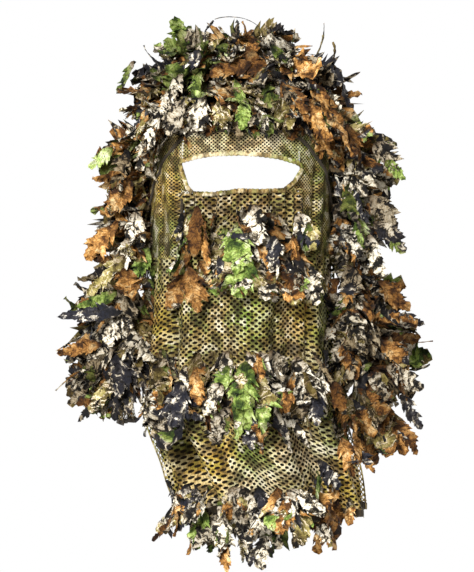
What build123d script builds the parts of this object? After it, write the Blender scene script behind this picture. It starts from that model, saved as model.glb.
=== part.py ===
"""Leafy camouflage face mask: an open mesh hood with an eye slot, a hanging front veil, two side
flaps, a back flap and rows of cloth leaves sewn all over it.

Millimetres. +Z is up, -Y is the wearer's front, +X is the left side of the wearer. The origin is the
middle of the head space at eye height. Soft parts are plain closed solids of the right size and place.
"""

import os
from math import cos, radians, sin

from build123d import *

os.makedirs("parts", exist_ok=True)

# ---- driving dimensions -------------------------------------------------------------------------
HEAD_A = 92.0  # half width of the hood's mesh at eye height
HEAD_B = 110.0  # half depth there
DOME_TOP = 130.0  # top of the mesh above eye height
DOME_BLUNT = 2.3  # exponent of the dome's profile: 2 is an ellipse, more is a blunter crown
NECK_TAPER = (0.022, 0.066)  # how fast the half width and half depth shrink below eye height
WALL = 2.0  # thickness of a mesh panel with its seams
CLEAR = 0.6  # gap between parts that only lie on each other

SLOT_HALF = 61.0  # eye slot
SLOT_TOP, SLOT_LOW = 13.0, -21.0
EDGE = 4.0  # height of the elastic along the slot's edges

BROW_TOP = 38.0  # where the brow band ends and the crown begins
BROW_HALF = 75.0
SIDE_LOW = -88.0  # lower edge of the hood
STRIP_HALF = 30.0  # half width of the crown's middle panel
TAPE_THICK, TAPE_WIDE = 1.0, 8.0  # seam tape
LINING_GAP, LINING_THICK = 1.0, 1.0  # the dark lining behind the mesh round the face

REAR_HALF = 70.0  # half-moon opening in the back
REAR_LOW = -38.0

STRAP_LOW, STRAP_HIGH, STRAP_THICK = -34.0, -20.0, 1.6
STRAP_FLAT = 44.0  # half length of its straight middle
STRAP_Y = 111.0
STRAP_ENDS = [(71.0, 79.0), (80.0, 59.0)]  # x and y of its bends, from the middle to the temple panel
STRAP_BEND = 14.0
SLIDER = (26.0, 6.4, 21.0)
SLIDER_ROUND = 3.0
SLIDER_GAP = 0.5
SLIDER_WINDOW = (7.0, 13.0)
SLIDER_WINDOW_X = 6.2

VEIL_HEM = -335.0
VEIL_BACK = -8.0
VEIL_SHOULDER = -90.0  # below this the veil widens from the face into its side folds
VEIL_SEAM = 62.0  # where the veil's middle meets its side folds
HEM_TAPE = 6.0

FLAP_TOP = -92.0  # hinge line of the side flaps and the back flap
FLAP_LONG = 158.0
FLAP_TILT = 12.8  # degrees outward from straight down
FLAP_ROOM = 5.0  # how far its hinge line stands off the hood
LEAF_DEPTH = 50.0  # how far its leaves stand out
PAD_ROUND = 5.0


def half_axes(z, inset=0.0):
    """Half width and half depth of the hood at a height."""
    if z >= 0:
        shrink = (1 - (z / DOME_TOP) ** DOME_BLUNT) ** (1 / 2)
        return HEAD_A * shrink - inset, HEAD_B * shrink - inset
    return HEAD_A + NECK_TAPER[0] * z - inset, HEAD_B + NECK_TAPER[1] * z - inset


def surface_plane(angle, z, gap=CLEAR):
    """A plane on the hood's outside: its z axis points outward and its y axis up the surface."""
    step = 0.01
    (a, b), (a2, b2) = half_axes(z), half_axes(z + step)
    t = radians(angle)
    along = Vector(-a * sin(t), b * cos(t), 0).normalized()
    rise = Vector((a2 - a) * cos(t), (b2 - b) * sin(t), step)
    outward = along.cross(rise).normalized()
    point = Vector(a * cos(t), b * sin(t), z) + outward * gap
    return Plane(origin=point, x_dir=along, z_dir=outward)


def save(part, name):
    part.label = name
    export_step(part, f"parts/{name}.step")


def block(low, high, mode):
    """A box between two corners, added to or taken from the part being built."""
    low, high = Vector(low), Vector(high)
    with Locations((low + high) / 2):
        Box(*(high - low), mode=mode)


def shell_piece(name, outside, inside, keep, cuts=()):
    """What lies between two solids, inside the keep box and in none of the cut boxes."""
    with BuildPart() as panel:
        add(outside)
        add(inside, mode=Mode.SUBTRACT)
        block(*keep, mode=Mode.INTERSECT)
        for cut in cuts:
            block(*cut, mode=Mode.SUBTRACT)
    save(panel.part, name)


def leaf_pad(width, height, depth):
    """One clump of leaves: a soft block that lies on the surface with its bottom face."""
    with BuildPart() as pad:
        Box(width, height, depth, align=(Align.CENTER, Align.CENTER, Align.MIN))
        fillet(pad.edges(), PAD_ROUND)
    return pad.part


def leaf_row(name, size, planes):
    """A row of equal clumps, each on its own plane."""
    clump = leaf_pad(*size)
    with BuildPart() as row:
        for plane in planes:
            with Locations(plane.location):
                add(clump)
    save(row.part, name)


# ---- the hood's shell, which the panels are cut from ----------------------------------------------
HOOD_HEIGHTS = [SIDE_LOW, -45, 0, 38, 66, 88, 105, 117, 125]
HOOD_PEAK = 129.0
SMALLEST_AXIS = 3.0
SEAM_GAP = 0.1


def hood_solid(inset):
    """The hood as one solid, all of its surface moved in by the inset."""
    with BuildPart() as body:
        for z in [*HOOD_HEIGHTS, HOOD_PEAK]:
            a, b = half_axes(z, inset)
            drop = inset if z == HOOD_PEAK else 0
            with BuildSketch(Plane.XY.offset(z - drop)):
                Ellipse(max(a, SMALLEST_AXIS), max(b, SMALLEST_AXIS))
        loft()
    return body.part


hood_outside, hood_inside = hood_solid(0), hood_solid(WALL)
tape_outside, tape_inside = hood_solid(WALL + SEAM_GAP), hood_solid(WALL + SEAM_GAP + TAPE_THICK)
lining_outside, lining_inside = hood_solid(WALL + LINING_GAP), hood_solid(WALL + LINING_GAP + LINING_THICK)
piping_outside, piping_inside = hood_solid(-TAPE_THICK - SEAM_GAP), hood_solid(-SEAM_GAP)


def hood_panel(name, keep, cuts=()):
    shell_piece(name, hood_outside, hood_inside, keep, cuts)


FAR = 200.0
hood_panel("crown_panel_middle", ((-STRIP_HALF, -FAR, BROW_TOP), (STRIP_HALF, FAR, FAR)))
hood_panel("crown_panel_left", ((STRIP_HALF, -FAR, BROW_TOP), (FAR, FAR, FAR)))
hood_panel("crown_panel_right", ((-FAR, -FAR, BROW_TOP), (-STRIP_HALF, FAR, FAR)))
hood_panel("brow_band", ((-BROW_HALF, -FAR, SLOT_TOP + EDGE), (BROW_HALF, 0, BROW_TOP)))
hood_panel("brow_edge_elastic", ((-SLOT_HALF, -FAR, SLOT_TOP), (SLOT_HALF, 0, SLOT_TOP + EDGE)))
hood_panel("nape_band", ((-REAR_HALF, 0, SIDE_LOW), (REAR_HALF, FAR, REAR_LOW)))
shell_piece(
    "brow_seam_piping",
    piping_outside,
    piping_inside,
    ((-BROW_HALF, -FAR, BROW_TOP - 5), (BROW_HALF, 0, BROW_TOP - 1)),
)
shell_piece(
    "brow_lining",
    lining_outside,
    lining_inside,
    ((-SLOT_HALF + 1, -FAR, SLOT_TOP), (SLOT_HALF - 1, 0, BROW_TOP - 1)),
)
for side, side_name in ((1, "left"), (-1, "right")):
    inner, outer = sorted((side * SLOT_HALF, side * FAR))
    brow_in, brow_out = sorted((0, side * BROW_HALF))
    rear_in, rear_out = sorted((0, side * REAR_HALF))
    hood_panel(
        f"temple_panel_{side_name}",
        ((inner, -FAR, SIDE_LOW), (outer, FAR, BROW_TOP)),
        [
            ((brow_in, -FAR, SLOT_TOP + EDGE), (brow_out, 0, BROW_TOP)),
            ((rear_in, 0, SIDE_LOW), (rear_out, FAR, BROW_TOP)),
        ],
    )
    shell_piece(
        f"temple_lining_{side_name}",
        lining_outside,
        lining_inside,
        ((inner, -FAR, SIDE_LOW), (outer, FAR, BROW_TOP - 1)),
        [((rear_in, 0, SIDE_LOW), (rear_out, FAR, BROW_TOP))],
    )
    tape_in, tape_out = (side * STRIP_HALF + edge * TAPE_WIDE / 2 for edge in (-1, 1))
    shell_piece(
        f"crown_seam_tape_{side_name}",
        tape_outside,
        tape_inside,
        ((tape_in, -FAR, BROW_TOP), (tape_out, FAR, FAR)),
    )

# ---- rear strap with its slider ----------------------------------------------------------------
half_path = [(STRAP_FLAT, STRAP_Y), *STRAP_ENDS]
mirrored_path = [(-x, y) for x, y in reversed(half_path)]
with BuildPart() as strap:
    with BuildSketch(Plane.XY.offset(STRAP_LOW)):
        with BuildLine():
            FilletPolyline(*mirrored_path, *half_path, radius=STRAP_BEND)
        trace(line_width=STRAP_THICK)
    extrude(amount=STRAP_HIGH - STRAP_LOW)
save(strap.part, "rear_strap")

strap_middle = (STRAP_LOW + STRAP_HIGH) / 2
strap_wide = STRAP_HIGH - STRAP_LOW
slider_back = STRAP_Y + SLIDER[1] / 2
with BuildPart() as slider:
    with Locations((0, STRAP_Y, strap_middle)):
        Box(*SLIDER)
        fillet(slider.edges().filter_by(Axis.Y), SLIDER_ROUND)
        Box(SLIDER[0], STRAP_THICK + 2 * SLIDER_GAP, strap_wide + 2 * SLIDER_GAP, mode=Mode.SUBTRACT)
    with Locations(*((x, slider_back, strap_middle) for x in (-SLIDER_WINDOW_X, SLIDER_WINDOW_X))):
        Box(SLIDER_WINDOW[0], SLIDER[1], SLIDER_WINDOW[1], mode=Mode.SUBTRACT)
save(slider.part, "strap_slider")

# ---- leaves on the hood --------------------------------------------------------------------------
TUFT_AXES, TUFT_HIGH, TUFT_TAPER, TUFT_ROUND = (34.0, 42.0), 30.0, 12.0, 8.0
with BuildPart() as tuft:
    with BuildSketch(Plane.XY.offset(DOME_TOP + CLEAR)):
        Ellipse(*TUFT_AXES)
    extrude(amount=TUFT_HIGH, taper=TUFT_TAPER)
    fillet(tuft.edges().group_by(Axis.Z)[-1], TUFT_ROUND)
save(tuft.part, "crown_tuft")


def ring(count, z, start):
    """Equal places round the hood at a height, the first at the start angle."""
    return [surface_plane(start + 360 / count * i, z) for i in range(count)]


# A row's clumps: size along the row, up the surface, and out from it.
leaf_row("crown_leaves_upper", (37, 27, 30), ring(9, 106, 10))
leaf_row("crown_leaves_middle", (40, 29, 40), ring(11, 83, 0))
leaf_row("crown_leaves_lower", (42, 29, 42), ring(12, 55, 15))
SIDE_ANGLES = (-30, -5, 20)  # degrees round the hood from its widest point, less is further forward
SIDE_DROOP = 8.0  # the lower side leaves stand off the hood, clear of the veil and the strap
for side, angles in (("left", SIDE_ANGLES), ("right", [180 - t for t in SIDE_ANGLES])):
    leaf_row(f"side_leaves_{side}_upper", (44, 50, 58), [surface_plane(t, 9) for t in angles])
    leaf_row(f"side_leaves_{side}_lower", (44, 56, 58), [surface_plane(t, -54, SIDE_DROOP) for t in angles])
leaf_row("nape_leaves", (46, 44, 38), [surface_plane(t, -62) for t in (61, 90, 119)])

# ---- front veil ----------------------------------------------------------------------------------
# The ellipses whose front halves the veil follows: height, half width, half depth, and how far the
# middle has swung towards the wearer's left.
VEIL_SECTIONS = [
    (SLOT_LOW, 91, 111, 0),
    (-52, 92, 117, 0),
    (-110, 93, 124, 0),
    (-170, 96, 126, 0),
    (-235, 98, 126, 3),
    (-290, 95, 123, 20),
    (VEIL_HEM, 92, 119, 32),
]


def veil_solid(inset):
    """The space inside the veil as one solid, its sides moved in by the inset."""
    with BuildPart() as body:
        for z, a, b, shift in VEIL_SECTIONS:
            with BuildSketch(Plane.XY.offset(z)):
                with Locations((shift, 0)):
                    Ellipse(a - inset, b - inset)
        loft()
    return body.part


veil_outside, veil_inside = veil_solid(0), veil_solid(WALL)
veil_lining_outside = veil_solid(WALL + LINING_GAP)
veil_lining_inside = veil_solid(WALL + LINING_GAP + LINING_THICK)


def veil_piece(name, keep, cuts=()):
    shell_piece(name, veil_outside, veil_inside, keep, cuts)


FACE_HALF = SLOT_HALF - 1  # the veil's half width between the temple panels
LINING_SHORT = 2.0  # how far the lining stops short of the veil's edges
veil_piece("eye_edge_elastic", ((-FACE_HALF, -FAR, SLOT_LOW - EDGE), (FACE_HALF, 0, SLOT_LOW)))
veil_piece(
    "veil_front",
    ((-VEIL_SEAM, -FAR, VEIL_HEM + HEM_TAPE), (VEIL_SEAM, VEIL_BACK, SLOT_LOW - EDGE)),
    [
        ((FACE_HALF, -FAR, VEIL_SHOULDER), (FAR, 0, 0)),
        ((-FAR, -FAR, VEIL_SHOULDER), (-FACE_HALF, 0, 0)),
    ],
)
veil_piece("veil_fold_left", ((VEIL_SEAM, -FAR, VEIL_HEM + HEM_TAPE), (FAR, VEIL_BACK, VEIL_SHOULDER)))
veil_piece("veil_fold_right", ((-FAR, -FAR, VEIL_HEM + HEM_TAPE), (-VEIL_SEAM, VEIL_BACK, VEIL_SHOULDER)))
veil_piece("veil_hem_tape", ((-FAR, -FAR, VEIL_HEM), (FAR, VEIL_BACK, VEIL_HEM + HEM_TAPE)))
shell_piece(
    "veil_lining",
    veil_lining_outside,
    veil_lining_inside,
    ((-FAR, -FAR, VEIL_HEM + HEM_TAPE), (FAR, VEIL_BACK - LINING_SHORT, SLOT_LOW - EDGE)),
    [
        ((FACE_HALF - LINING_SHORT, -FAR, VEIL_SHOULDER - LINING_SHORT), (FAR, 0, 0)),
        ((-FAR, -FAR, VEIL_SHOULDER - LINING_SHORT), (-FACE_HALF + LINING_SHORT, 0, 0)),
    ],
)


def veil_plane(turn, z, a, b, shift=0.0, gap=1.2):
    """An upright plane outside the veil, turned from the front by some degrees, on an ellipse a by b."""
    t = radians(turn - 90)
    along = Vector(-a * sin(t), b * cos(t), 0).normalized()
    outward = Vector(along.Y, -along.X, 0)
    point = Vector(shift + a * cos(t), b * sin(t), z) + outward * gap
    return Plane(origin=point, x_dir=along, z_dir=outward)


FACE_ROW = (-44, -22, 0, 22, 44)
WIDE_ROW = (-60, -36, -12, 12, 36, 60)
leaf_row("veil_leaves_cheek", (34, 82, 20), [veil_plane(t, -88, 94, 125) for t in FACE_ROW])
leaf_row("veil_leaves_chin", (36, 76, 22), [veil_plane(t, -208, 101, 128, 2) for t in WIDE_ROW])
leaf_row("veil_leaves_hem", (33, 62, 22), [veil_plane(t, -360, 95, 121, 31) for t in WIDE_ROW])

# ---- side flaps and back flap --------------------------------------------------------------------
CLUMP_GAP = 2.0
# Outlines of the three leaf rows on a flap: distance down the flap, and out from it. The first row's
# top slopes away, so that the flap can lift below the leaves above it.
FLAP_ROWS = [
    ("upper", [(6, 0), (56, 0), (56, LEAF_DEPTH), (53, LEAF_DEPTH)]),
    ("middle", [(58, 0), (106, 0), (106, LEAF_DEPTH), (58, LEAF_DEPTH)]),
    ("lower", [(108, 0), (160, 0), (160, LEAF_DEPTH), (108, LEAF_DEPTH)]),
]


def flap(name, hinge, out, width, clumps):
    """A cloth flap that hangs from the hinge point, leans outward, and carries rows of leaf clumps."""
    tilt = radians(FLAP_TILT)
    down = out * sin(tilt) + Vector(0, 0, -1) * cos(tilt)
    # Sketch axes: x runs down the flap, y out from it, and the sketch is extruded across it.
    normal = down.cross(out).normalized()
    outward = normal.cross(down).normalized()
    frame = Plane(origin=hinge, x_dir=down, z_dir=normal)
    with BuildPart() as panel:
        with BuildSketch(frame):
            with Locations((FLAP_LONG / 2, WALL / 2)):
                Rectangle(FLAP_LONG, WALL)
        extrude(amount=width / 2, both=True)
    save(panel.part, f"{name}_panel")
    pitch = width / clumps
    for row_name, outline in FLAP_ROWS:
        with BuildPart() as row:
            for i in range(clumps):
                middle = (i - (clumps - 1) / 2) * pitch
                start = hinge + outward * (WALL + CLEAR) + normal * (middle - (pitch - CLUMP_GAP) / 2)
                with BuildSketch(Plane(origin=start, x_dir=down, z_dir=normal)):
                    with BuildLine():
                        Polyline(*outline, close=True)
                    make_face()
                extrude(amount=pitch - CLUMP_GAP)
        save(row.part, f"{name}_leaves_{row_name}")


side_x = half_axes(SIDE_LOW)[0] + FLAP_ROOM
back_y = half_axes(SIDE_LOW)[1] + FLAP_ROOM
SIDE_FLAP_Y = 26.0
SIDE_FLAP_WIDE, BACK_FLAP_WIDE = 126.0, 160.0
flap("flap_left", Vector(side_x, SIDE_FLAP_Y, FLAP_TOP), Vector(1, 0, 0), SIDE_FLAP_WIDE, 3)
flap("flap_right", Vector(-side_x, SIDE_FLAP_Y, FLAP_TOP), Vector(-1, 0, 0), SIDE_FLAP_WIDE, 3)
flap("flap_back", Vector(0, back_y, FLAP_TOP), Vector(0, 1, 0), BACK_FLAP_WIDE, 4)
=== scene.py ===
"""Leafy camouflage face mask: printed mesh panels with real holes and rows of cut cloth leaves.

Metres, in the frame of the CAD part: +Z up, -Y the wearer's front, origin at eye height in the head.
"""

from itertools import pairwise
from math import acos, atan2, ceil, cos, degrees, pi, radians, sin, sqrt

import bpy
import numpy as np
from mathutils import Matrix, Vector


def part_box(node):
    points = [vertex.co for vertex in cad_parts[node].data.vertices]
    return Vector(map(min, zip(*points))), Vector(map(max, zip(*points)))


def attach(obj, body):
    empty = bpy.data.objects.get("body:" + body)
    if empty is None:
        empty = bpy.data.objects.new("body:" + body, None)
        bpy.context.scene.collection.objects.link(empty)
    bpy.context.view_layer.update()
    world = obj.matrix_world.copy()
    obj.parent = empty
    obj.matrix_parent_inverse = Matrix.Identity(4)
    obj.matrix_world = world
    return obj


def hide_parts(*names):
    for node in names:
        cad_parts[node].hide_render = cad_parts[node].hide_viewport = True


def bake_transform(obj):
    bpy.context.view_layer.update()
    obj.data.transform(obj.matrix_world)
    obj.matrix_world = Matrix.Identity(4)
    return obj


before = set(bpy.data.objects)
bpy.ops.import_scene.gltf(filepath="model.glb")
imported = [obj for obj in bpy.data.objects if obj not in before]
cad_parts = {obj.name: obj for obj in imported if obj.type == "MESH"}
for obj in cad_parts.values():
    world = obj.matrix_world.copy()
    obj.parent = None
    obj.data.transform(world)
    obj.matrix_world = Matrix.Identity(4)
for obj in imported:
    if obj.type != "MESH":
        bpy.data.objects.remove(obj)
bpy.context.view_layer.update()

MM = 0.001
SEED = 7
SIDES = ((1, "left"), (-1, "right"))  # the wearer's left is +X
rng = np.random.default_rng(SEED)

# ---- measures taken from the frame
TEMPLE_LOW, TEMPLE_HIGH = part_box("temple_panel_left")
CROWN_LOW, CROWN_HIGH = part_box("crown_panel_middle")
NAPE_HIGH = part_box("nape_band")[1]
BROW_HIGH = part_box("brow_band")[1]
HALF_WIDTH = TEMPLE_HIGH[0]
HALF_DEPTH = -CROWN_LOW[1] * 1.015
DOME_TOP = CROWN_HIGH[2] + 1 * MM
DOME_BLUNT = 2.3  # over 2 is blunter than an ellipse
TAPER = (0.022, 0.066)  # how much each half narrows per metre down
SLOT_HALF = -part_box("brow_edge_elastic")[0][0] - 3 * MM
SLOT_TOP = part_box("brow_edge_elastic")[0][2] - 3 * MM
SLOT_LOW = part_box("eye_edge_elastic")[1][2]
HOOD_LOW = TEMPLE_LOW[2]
BROW_HALF, BROW_TOP = BROW_HIGH[0], BROW_HIGH[2]
REAR_HALF, REAR_LOW = NAPE_HIGH[0], NAPE_HIGH[2]
SEAM_HALF = CROWN_HIGH[0]
VEIL_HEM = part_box("veil_hem_tape")[0][2]
FLAP_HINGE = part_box("flap_left_panel")[1][2]


def hood_axes(z):
    """Half width and half depth of the hood at a height."""
    if z >= 0:
        shrink = sqrt(max(1 - (min(z, DOME_TOP) / DOME_TOP) ** DOME_BLUNT, 0))
        return HALF_WIDTH * shrink, HALF_DEPTH * shrink
    return HALF_WIDTH + TAPER[0] * z, HALF_DEPTH + TAPER[1] * z


def hood_point(angle, z):
    """A point on the hood; the angle is in degrees, 0 at +X, 90 at the back, 270 at the front."""
    a, b = hood_axes(z)
    return np.array([a * cos(radians(angle)), b * sin(radians(angle)), z])


def unit(v):
    """The vector at length 1."""
    return v / max(np.linalg.norm(v), 1e-9)


# ---- shader helpers
class Graph:
    """A small wrapper that makes a material's nodes and links them."""

    def __init__(self, name, roughness, sheen=0.0):
        self.material = bpy.data.materials.new(name)
        self.material.use_nodes = True
        self.tree = self.material.node_tree
        self.shader = self.tree.nodes["Principled BSDF"]
        self.shader.inputs["Roughness"].default_value = roughness
        self.shader.inputs["Sheen Weight"].default_value = sheen
        self.shader.inputs["Specular IOR Level"].default_value = 0.18

    def node(self, kind, **settings):
        """A new node."""
        made = self.tree.nodes.new(kind)
        for key, value in settings.items():
            setattr(made, key, value)
        return made

    def put(self, socket, value):
        """Links an output to the socket, or sets a plain value on it."""
        if isinstance(value, bpy.types.NodeSocket):
            self.tree.links.new(value, socket)
        else:
            socket.default_value = value

    def attribute(self, name, output):
        """One of the values stored on the mesh's points."""
        return self.node("ShaderNodeAttribute", attribute_name=name).outputs[output]

    def math(self, operation, a, b=0.0):
        made = self.node("ShaderNodeMath", operation=operation)
        self.put(made.inputs[0], a)
        self.put(made.inputs[1], b)
        return made.outputs[0]

    def vector(self, operation, a, b):
        made = self.node("ShaderNodeVectorMath", operation=operation)
        self.put(made.inputs[0], a)
        self.put(made.inputs[1], b)
        return made.outputs[0]

    def mix(self, factor, a, b, blend="MIX"):
        made = self.node("ShaderNodeMix", data_type="RGBA", blend_type=blend)
        self.put(made.inputs[0], factor)
        self.put(made.inputs[6], a)
        self.put(made.inputs[7], b)
        return made.outputs[2]

    def ramp(self, value, stops, sharp=False):
        """Colours by position; a colour that is one number is a grey."""
        made = self.node("ShaderNodeValToRGB")
        made.color_ramp.interpolation = "CONSTANT" if sharp else "LINEAR"
        elements = made.color_ramp.elements
        while len(elements) < len(stops):
            elements.new(0.5)
        for element, (position, colour) in zip(elements, stops):
            element.position = position
            element.color = (*(colour if isinstance(colour, tuple) else (colour,) * 3), 1)
        self.put(made.inputs[0], value)
        return made.outputs[0]

    def noise(self, vector, scale, detail=3.0, roughness=0.55):
        made = self.node("ShaderNodeTexNoise")
        self.put(made.inputs["Vector"], vector)
        made.inputs["Scale"].default_value = scale
        made.inputs["Detail"].default_value = detail
        made.inputs["Roughness"].default_value = roughness
        return made.outputs

    def voronoi(self, vector, scale, feature="F1"):
        made = self.node("ShaderNodeTexVoronoi", feature=feature)
        self.put(made.inputs["Vector"], vector)
        made.inputs["Scale"].default_value = scale
        return made.outputs

    def split(self, vector):
        made = self.node("ShaderNodeSeparateXYZ")
        self.put(made.inputs[0], vector)
        return made.outputs

    def stretched(self, vector, scale):
        """The vector, scaled differently in each direction."""
        return self.vector("MULTIPLY", vector, scale)

    def distorted(self, vector, scale, amount):
        """The vector, shifted about by noise."""
        wobble = self.noise(vector, scale, 4.0)["Color"]
        shifted = self.vector("SUBTRACT", wobble, (0.5, 0.5, 0.5))
        return self.vector("ADD", vector, self.vector("MULTIPLY", shifted, (amount, amount, amount)))

    def bump(self, height, distance, strength=1.0):
        """Fine relief from a height."""
        made = self.node("ShaderNodeBump")
        made.inputs["Distance"].default_value = distance
        made.inputs["Strength"].default_value = strength
        self.put(made.inputs["Height"], height)
        self.tree.links.new(made.outputs[0], self.shader.inputs["Normal"])

    def finish(self, colour):
        """Sets the colour and gives the material."""
        self.put(self.shader.inputs["Base Color"], colour)
        return self.material


# ---- the camouflage print on the leaves
MOTIFS = ("bark", "navy", "orange", "green", "twig")
MOTIF_STEP = 1 / len(MOTIFS)
NAVY, CHARCOAL = (0.014, 0.015, 0.024), (0.036, 0.034, 0.040)
WHITE = (0.93, 0.89, 0.77)
PATCHES = 62  # the print's patches in a metre


def leaf_colours(g, printed, leaf):
    """The five colour schemes of the print, one colour output each."""
    across, along, _ = g.split(leaf)
    side = g.math("ABSOLUTE", across)
    chevron = g.math("SUBTRACT", g.math("MULTIPLY", along, 7.0), g.math("MULTIPLY", side, 1.6))
    vein = g.math("PINGPONG", chevron, 0.5)
    rib = g.math("MINIMUM", g.math("MULTIPLY", side, 2.2), vein)
    rib_line = g.ramp(rib, [(0.0, 1), (0.10, 0)])
    bent = g.distorted(printed, 130.0, 0.012)
    soft = g.noise(bent, 64.0, 5.0, 0.64)[0]
    fissure = g.noise(g.stretched(bent, (175.0, 72.0, 72.0)), 1.0, 4.0, 0.64)[0]
    grain = g.noise(g.stretched(bent, (260.0, 700.0, 260.0)), 1.0, 3.0, 0.6)[0]
    twigs = g.noise(g.stretched(bent, (420.0, 42.0, 42.0)), 1.0, 3.0, 0.5)[0]

    shade = g.ramp(grain, [(0.36, (0.18, 0.135, 0.08)), (0.45, (0.74, 0.66, 0.53)), (0.53, 1)])
    bark = g.ramp(
        fissure,
        [(0.42, (0.011, 0.010, 0.009)), (0.465, (0.050, 0.042, 0.032)), (0.49, (0.27, 0.23, 0.16)),
         (0.51, (0.74, 0.68, 0.55)), (0.56, WHITE)],
    )
    navy = g.ramp(
        fissure,
        [(0.42, NAVY), (0.52, CHARCOAL), (0.565, (0.10, 0.095, 0.095)), (0.585, (0.56, 0.52, 0.45)),
         (0.64, WHITE)],
    )
    orange = g.ramp(
        soft,
        [(0.36, (0.022, 0.010, 0.004)), (0.43, (0.110, 0.048, 0.014)), (0.49, (0.38, 0.180, 0.045)),
         (0.55, (0.68, 0.37, 0.115)), (0.64, (0.92, 0.68, 0.36))],
    )
    orange = g.mix(g.math("MULTIPLY", rib_line, 0.8), orange, (0.075, 0.030, 0.010, 1))
    green = g.ramp(
        soft,
        [(0.36, (0.014, 0.028, 0.006)), (0.43, (0.075, 0.125, 0.020)), (0.49, (0.24, 0.34, 0.065)),
         (0.56, (0.46, 0.58, 0.19)), (0.66, (0.76, 0.84, 0.52))],
    )
    green = g.mix(g.math("MULTIPLY", rib_line, 0.8), green, (0.040, 0.080, 0.014, 1))
    ground = g.ramp(
        soft,
        [(0.38, (0.026, 0.020, 0.008)), (0.47, (0.15, 0.115, 0.035)), (0.55, (0.36, 0.31, 0.10)),
         (0.64, (0.62, 0.54, 0.28))],
    )
    lines = g.ramp(twigs, [(0.55, 0), (0.57, 1), (0.63, 1), (0.65, 0)])
    twig = g.mix(lines, ground, (0.84, 0.74, 0.56, 1))
    return [g.mix(0.80, colour, shade, "MULTIPLY") for colour in (bark, navy, orange, green, twig)]


def leaf_material():
    """The printed cloth of the leaves: each keeps its own scheme on most of its patches."""
    g = Graph("leaf_cloth_print", 0.78, 0.02)
    printed = g.attribute("print", "Vector")
    leaf = g.attribute("leaf", "Vector")
    own = g.attribute("motif", "Fac")
    colours = leaf_colours(g, printed, leaf)

    # Patches of the print: cells with ragged edges, of which some keep the leaf's own scheme.
    ragged = g.distorted(g.distorted(printed, 520.0, 0.004), 95.0, 0.020)
    cells = g.voronoi(ragged, PATCHES)
    pick = g.node("ShaderNodeSeparateColor")
    g.put(pick.inputs[0], cells["Color"])
    strays = g.ramp(
        pick.outputs[1],
        [(0.0, 0.1), (0.36, 0.3), (0.50, 0.5), (0.72, 0.7), (0.80, 0.9)],
        sharp=True,
    )
    keeps = g.math("LESS_THAN", pick.outputs[0], g.attribute("pure", "Fac"))
    changes = g.math("SUBTRACT", 1.0, keeps)
    spread = g.math("ADD", g.math("MULTIPLY", own, keeps), g.math("MULTIPLY", strays, changes))
    colour = colours[0]
    for i in range(1, len(colours)):
        chosen = g.node("ShaderNodeMath", operation="COMPARE")
        g.put(chosen.inputs[0], spread)
        chosen.inputs[1].default_value = (i + 0.5) * MOTIF_STEP
        chosen.inputs[2].default_value = MOTIF_STEP / 2
        colour = g.mix(chosen.outputs[0], colour, colours[i])

    edges = g.voronoi(ragged, PATCHES, "DISTANCE_TO_EDGE")["Distance"]
    outline = g.ramp(edges, [(0.0, (0.07, 0.06, 0.05)), (0.05, 1)])
    colour = g.mix(g.math("SUBTRACT", 0.85, g.math("MULTIPLY", keeps, 0.45)), colour, outline, "MULTIPLY")
    _, along, each = g.split(leaf)
    # Painted shade: each leaf is darkened towards its root, where it hangs in the shade of the leaves above
    # it.
    colour = g.mix(1.0, colour, g.ramp(along, [(0.0, (0.16, 0.11, 0.06)), (0.35, 1)]), "MULTIPLY")
    # Each leaf also takes a random tone, scaled by the painted light and shade of its row.
    colour = g.mix(1.0, colour, g.ramp(each, [(0.0, (0.26, 0.21, 0.14)), (0.55, 1)]), "MULTIPLY")
    weave = g.noise(g.stretched(printed, (1.0, 0.35, 1.0)), 2600.0, 1.0)[0]
    g.bump(weave, 0.0003, 0.6)
    return g.finish(colour)


# ---- the print on the mesh
def mesh_material():
    """The mesh's print: broad colours with darker and lighter motifs on them."""
    g = Graph("mesh_print", 0.8, 0.02)
    printed = g.attribute("print", "Vector")
    tint = g.attribute("tint", "Color")
    drifted = g.distorted(printed, 55.0, 0.030)
    broad = g.noise(drifted, 46.0, 3.0, 0.5)[0]
    blotches = g.ramp(
        broad,
        [(0.36, (0.040, 0.026, 0.010)), (0.43, (0.15, 0.155, 0.026)), (0.47, (0.20, 0.29, 0.040)),
         (0.51, (0.50, 0.33, 0.080)), (0.56, (0.60, 0.44, 0.19)), (0.62, (0.93, 0.82, 0.55))],
    )
    colour = g.mix(0.66, blotches, tint)
    motifs = g.noise(g.distorted(printed, 90.0, 0.014), 74.0, 2.5, 0.58)[0]
    dark = g.ramp(motifs, [(0.40, (0.075, 0.050, 0.022)), (0.46, (0.48, 0.38, 0.25)), (0.50, 1)])
    colour = g.mix(0.78, colour, dark, "MULTIPLY")
    light = g.ramp(motifs, [(0.57, 0), (0.64, 0.55)])
    colour = g.mix(light, colour, (0.94, 0.86, 0.66, 1))
    threads = g.noise(g.stretched(printed, (1.0, 0.25, 1.0)), 1300.0, 2.0)[0]
    thread_shade = g.ramp(threads, [(0.40, (0.26, 0.24, 0.20)), (0.56, 1)])
    colour = g.mix(0.60, colour, thread_shade, "MULTIPLY")
    g.bump(threads, 0.0008, 0.9)
    return g.finish(colour)


def lining_material():
    """Painted shade: a black sheet with a fine knit, standing for the shade inside the mask that shows
    through the mesh's holes.
    """
    g = Graph("painted_shade_black", 0.9)
    place = g.node("ShaderNodeTexCoord").outputs["Object"]
    knit = g.noise(g.stretched(place, (1.0, 1.0, 0.3)), 1800.0, 2.0)[0]
    g.bump(knit, 0.0004, 0.7)
    return g.finish(g.ramp(knit, [(0.35, (0.006, 0.004, 0.002)), (0.65, (0.024, 0.016, 0.008))]))


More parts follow.
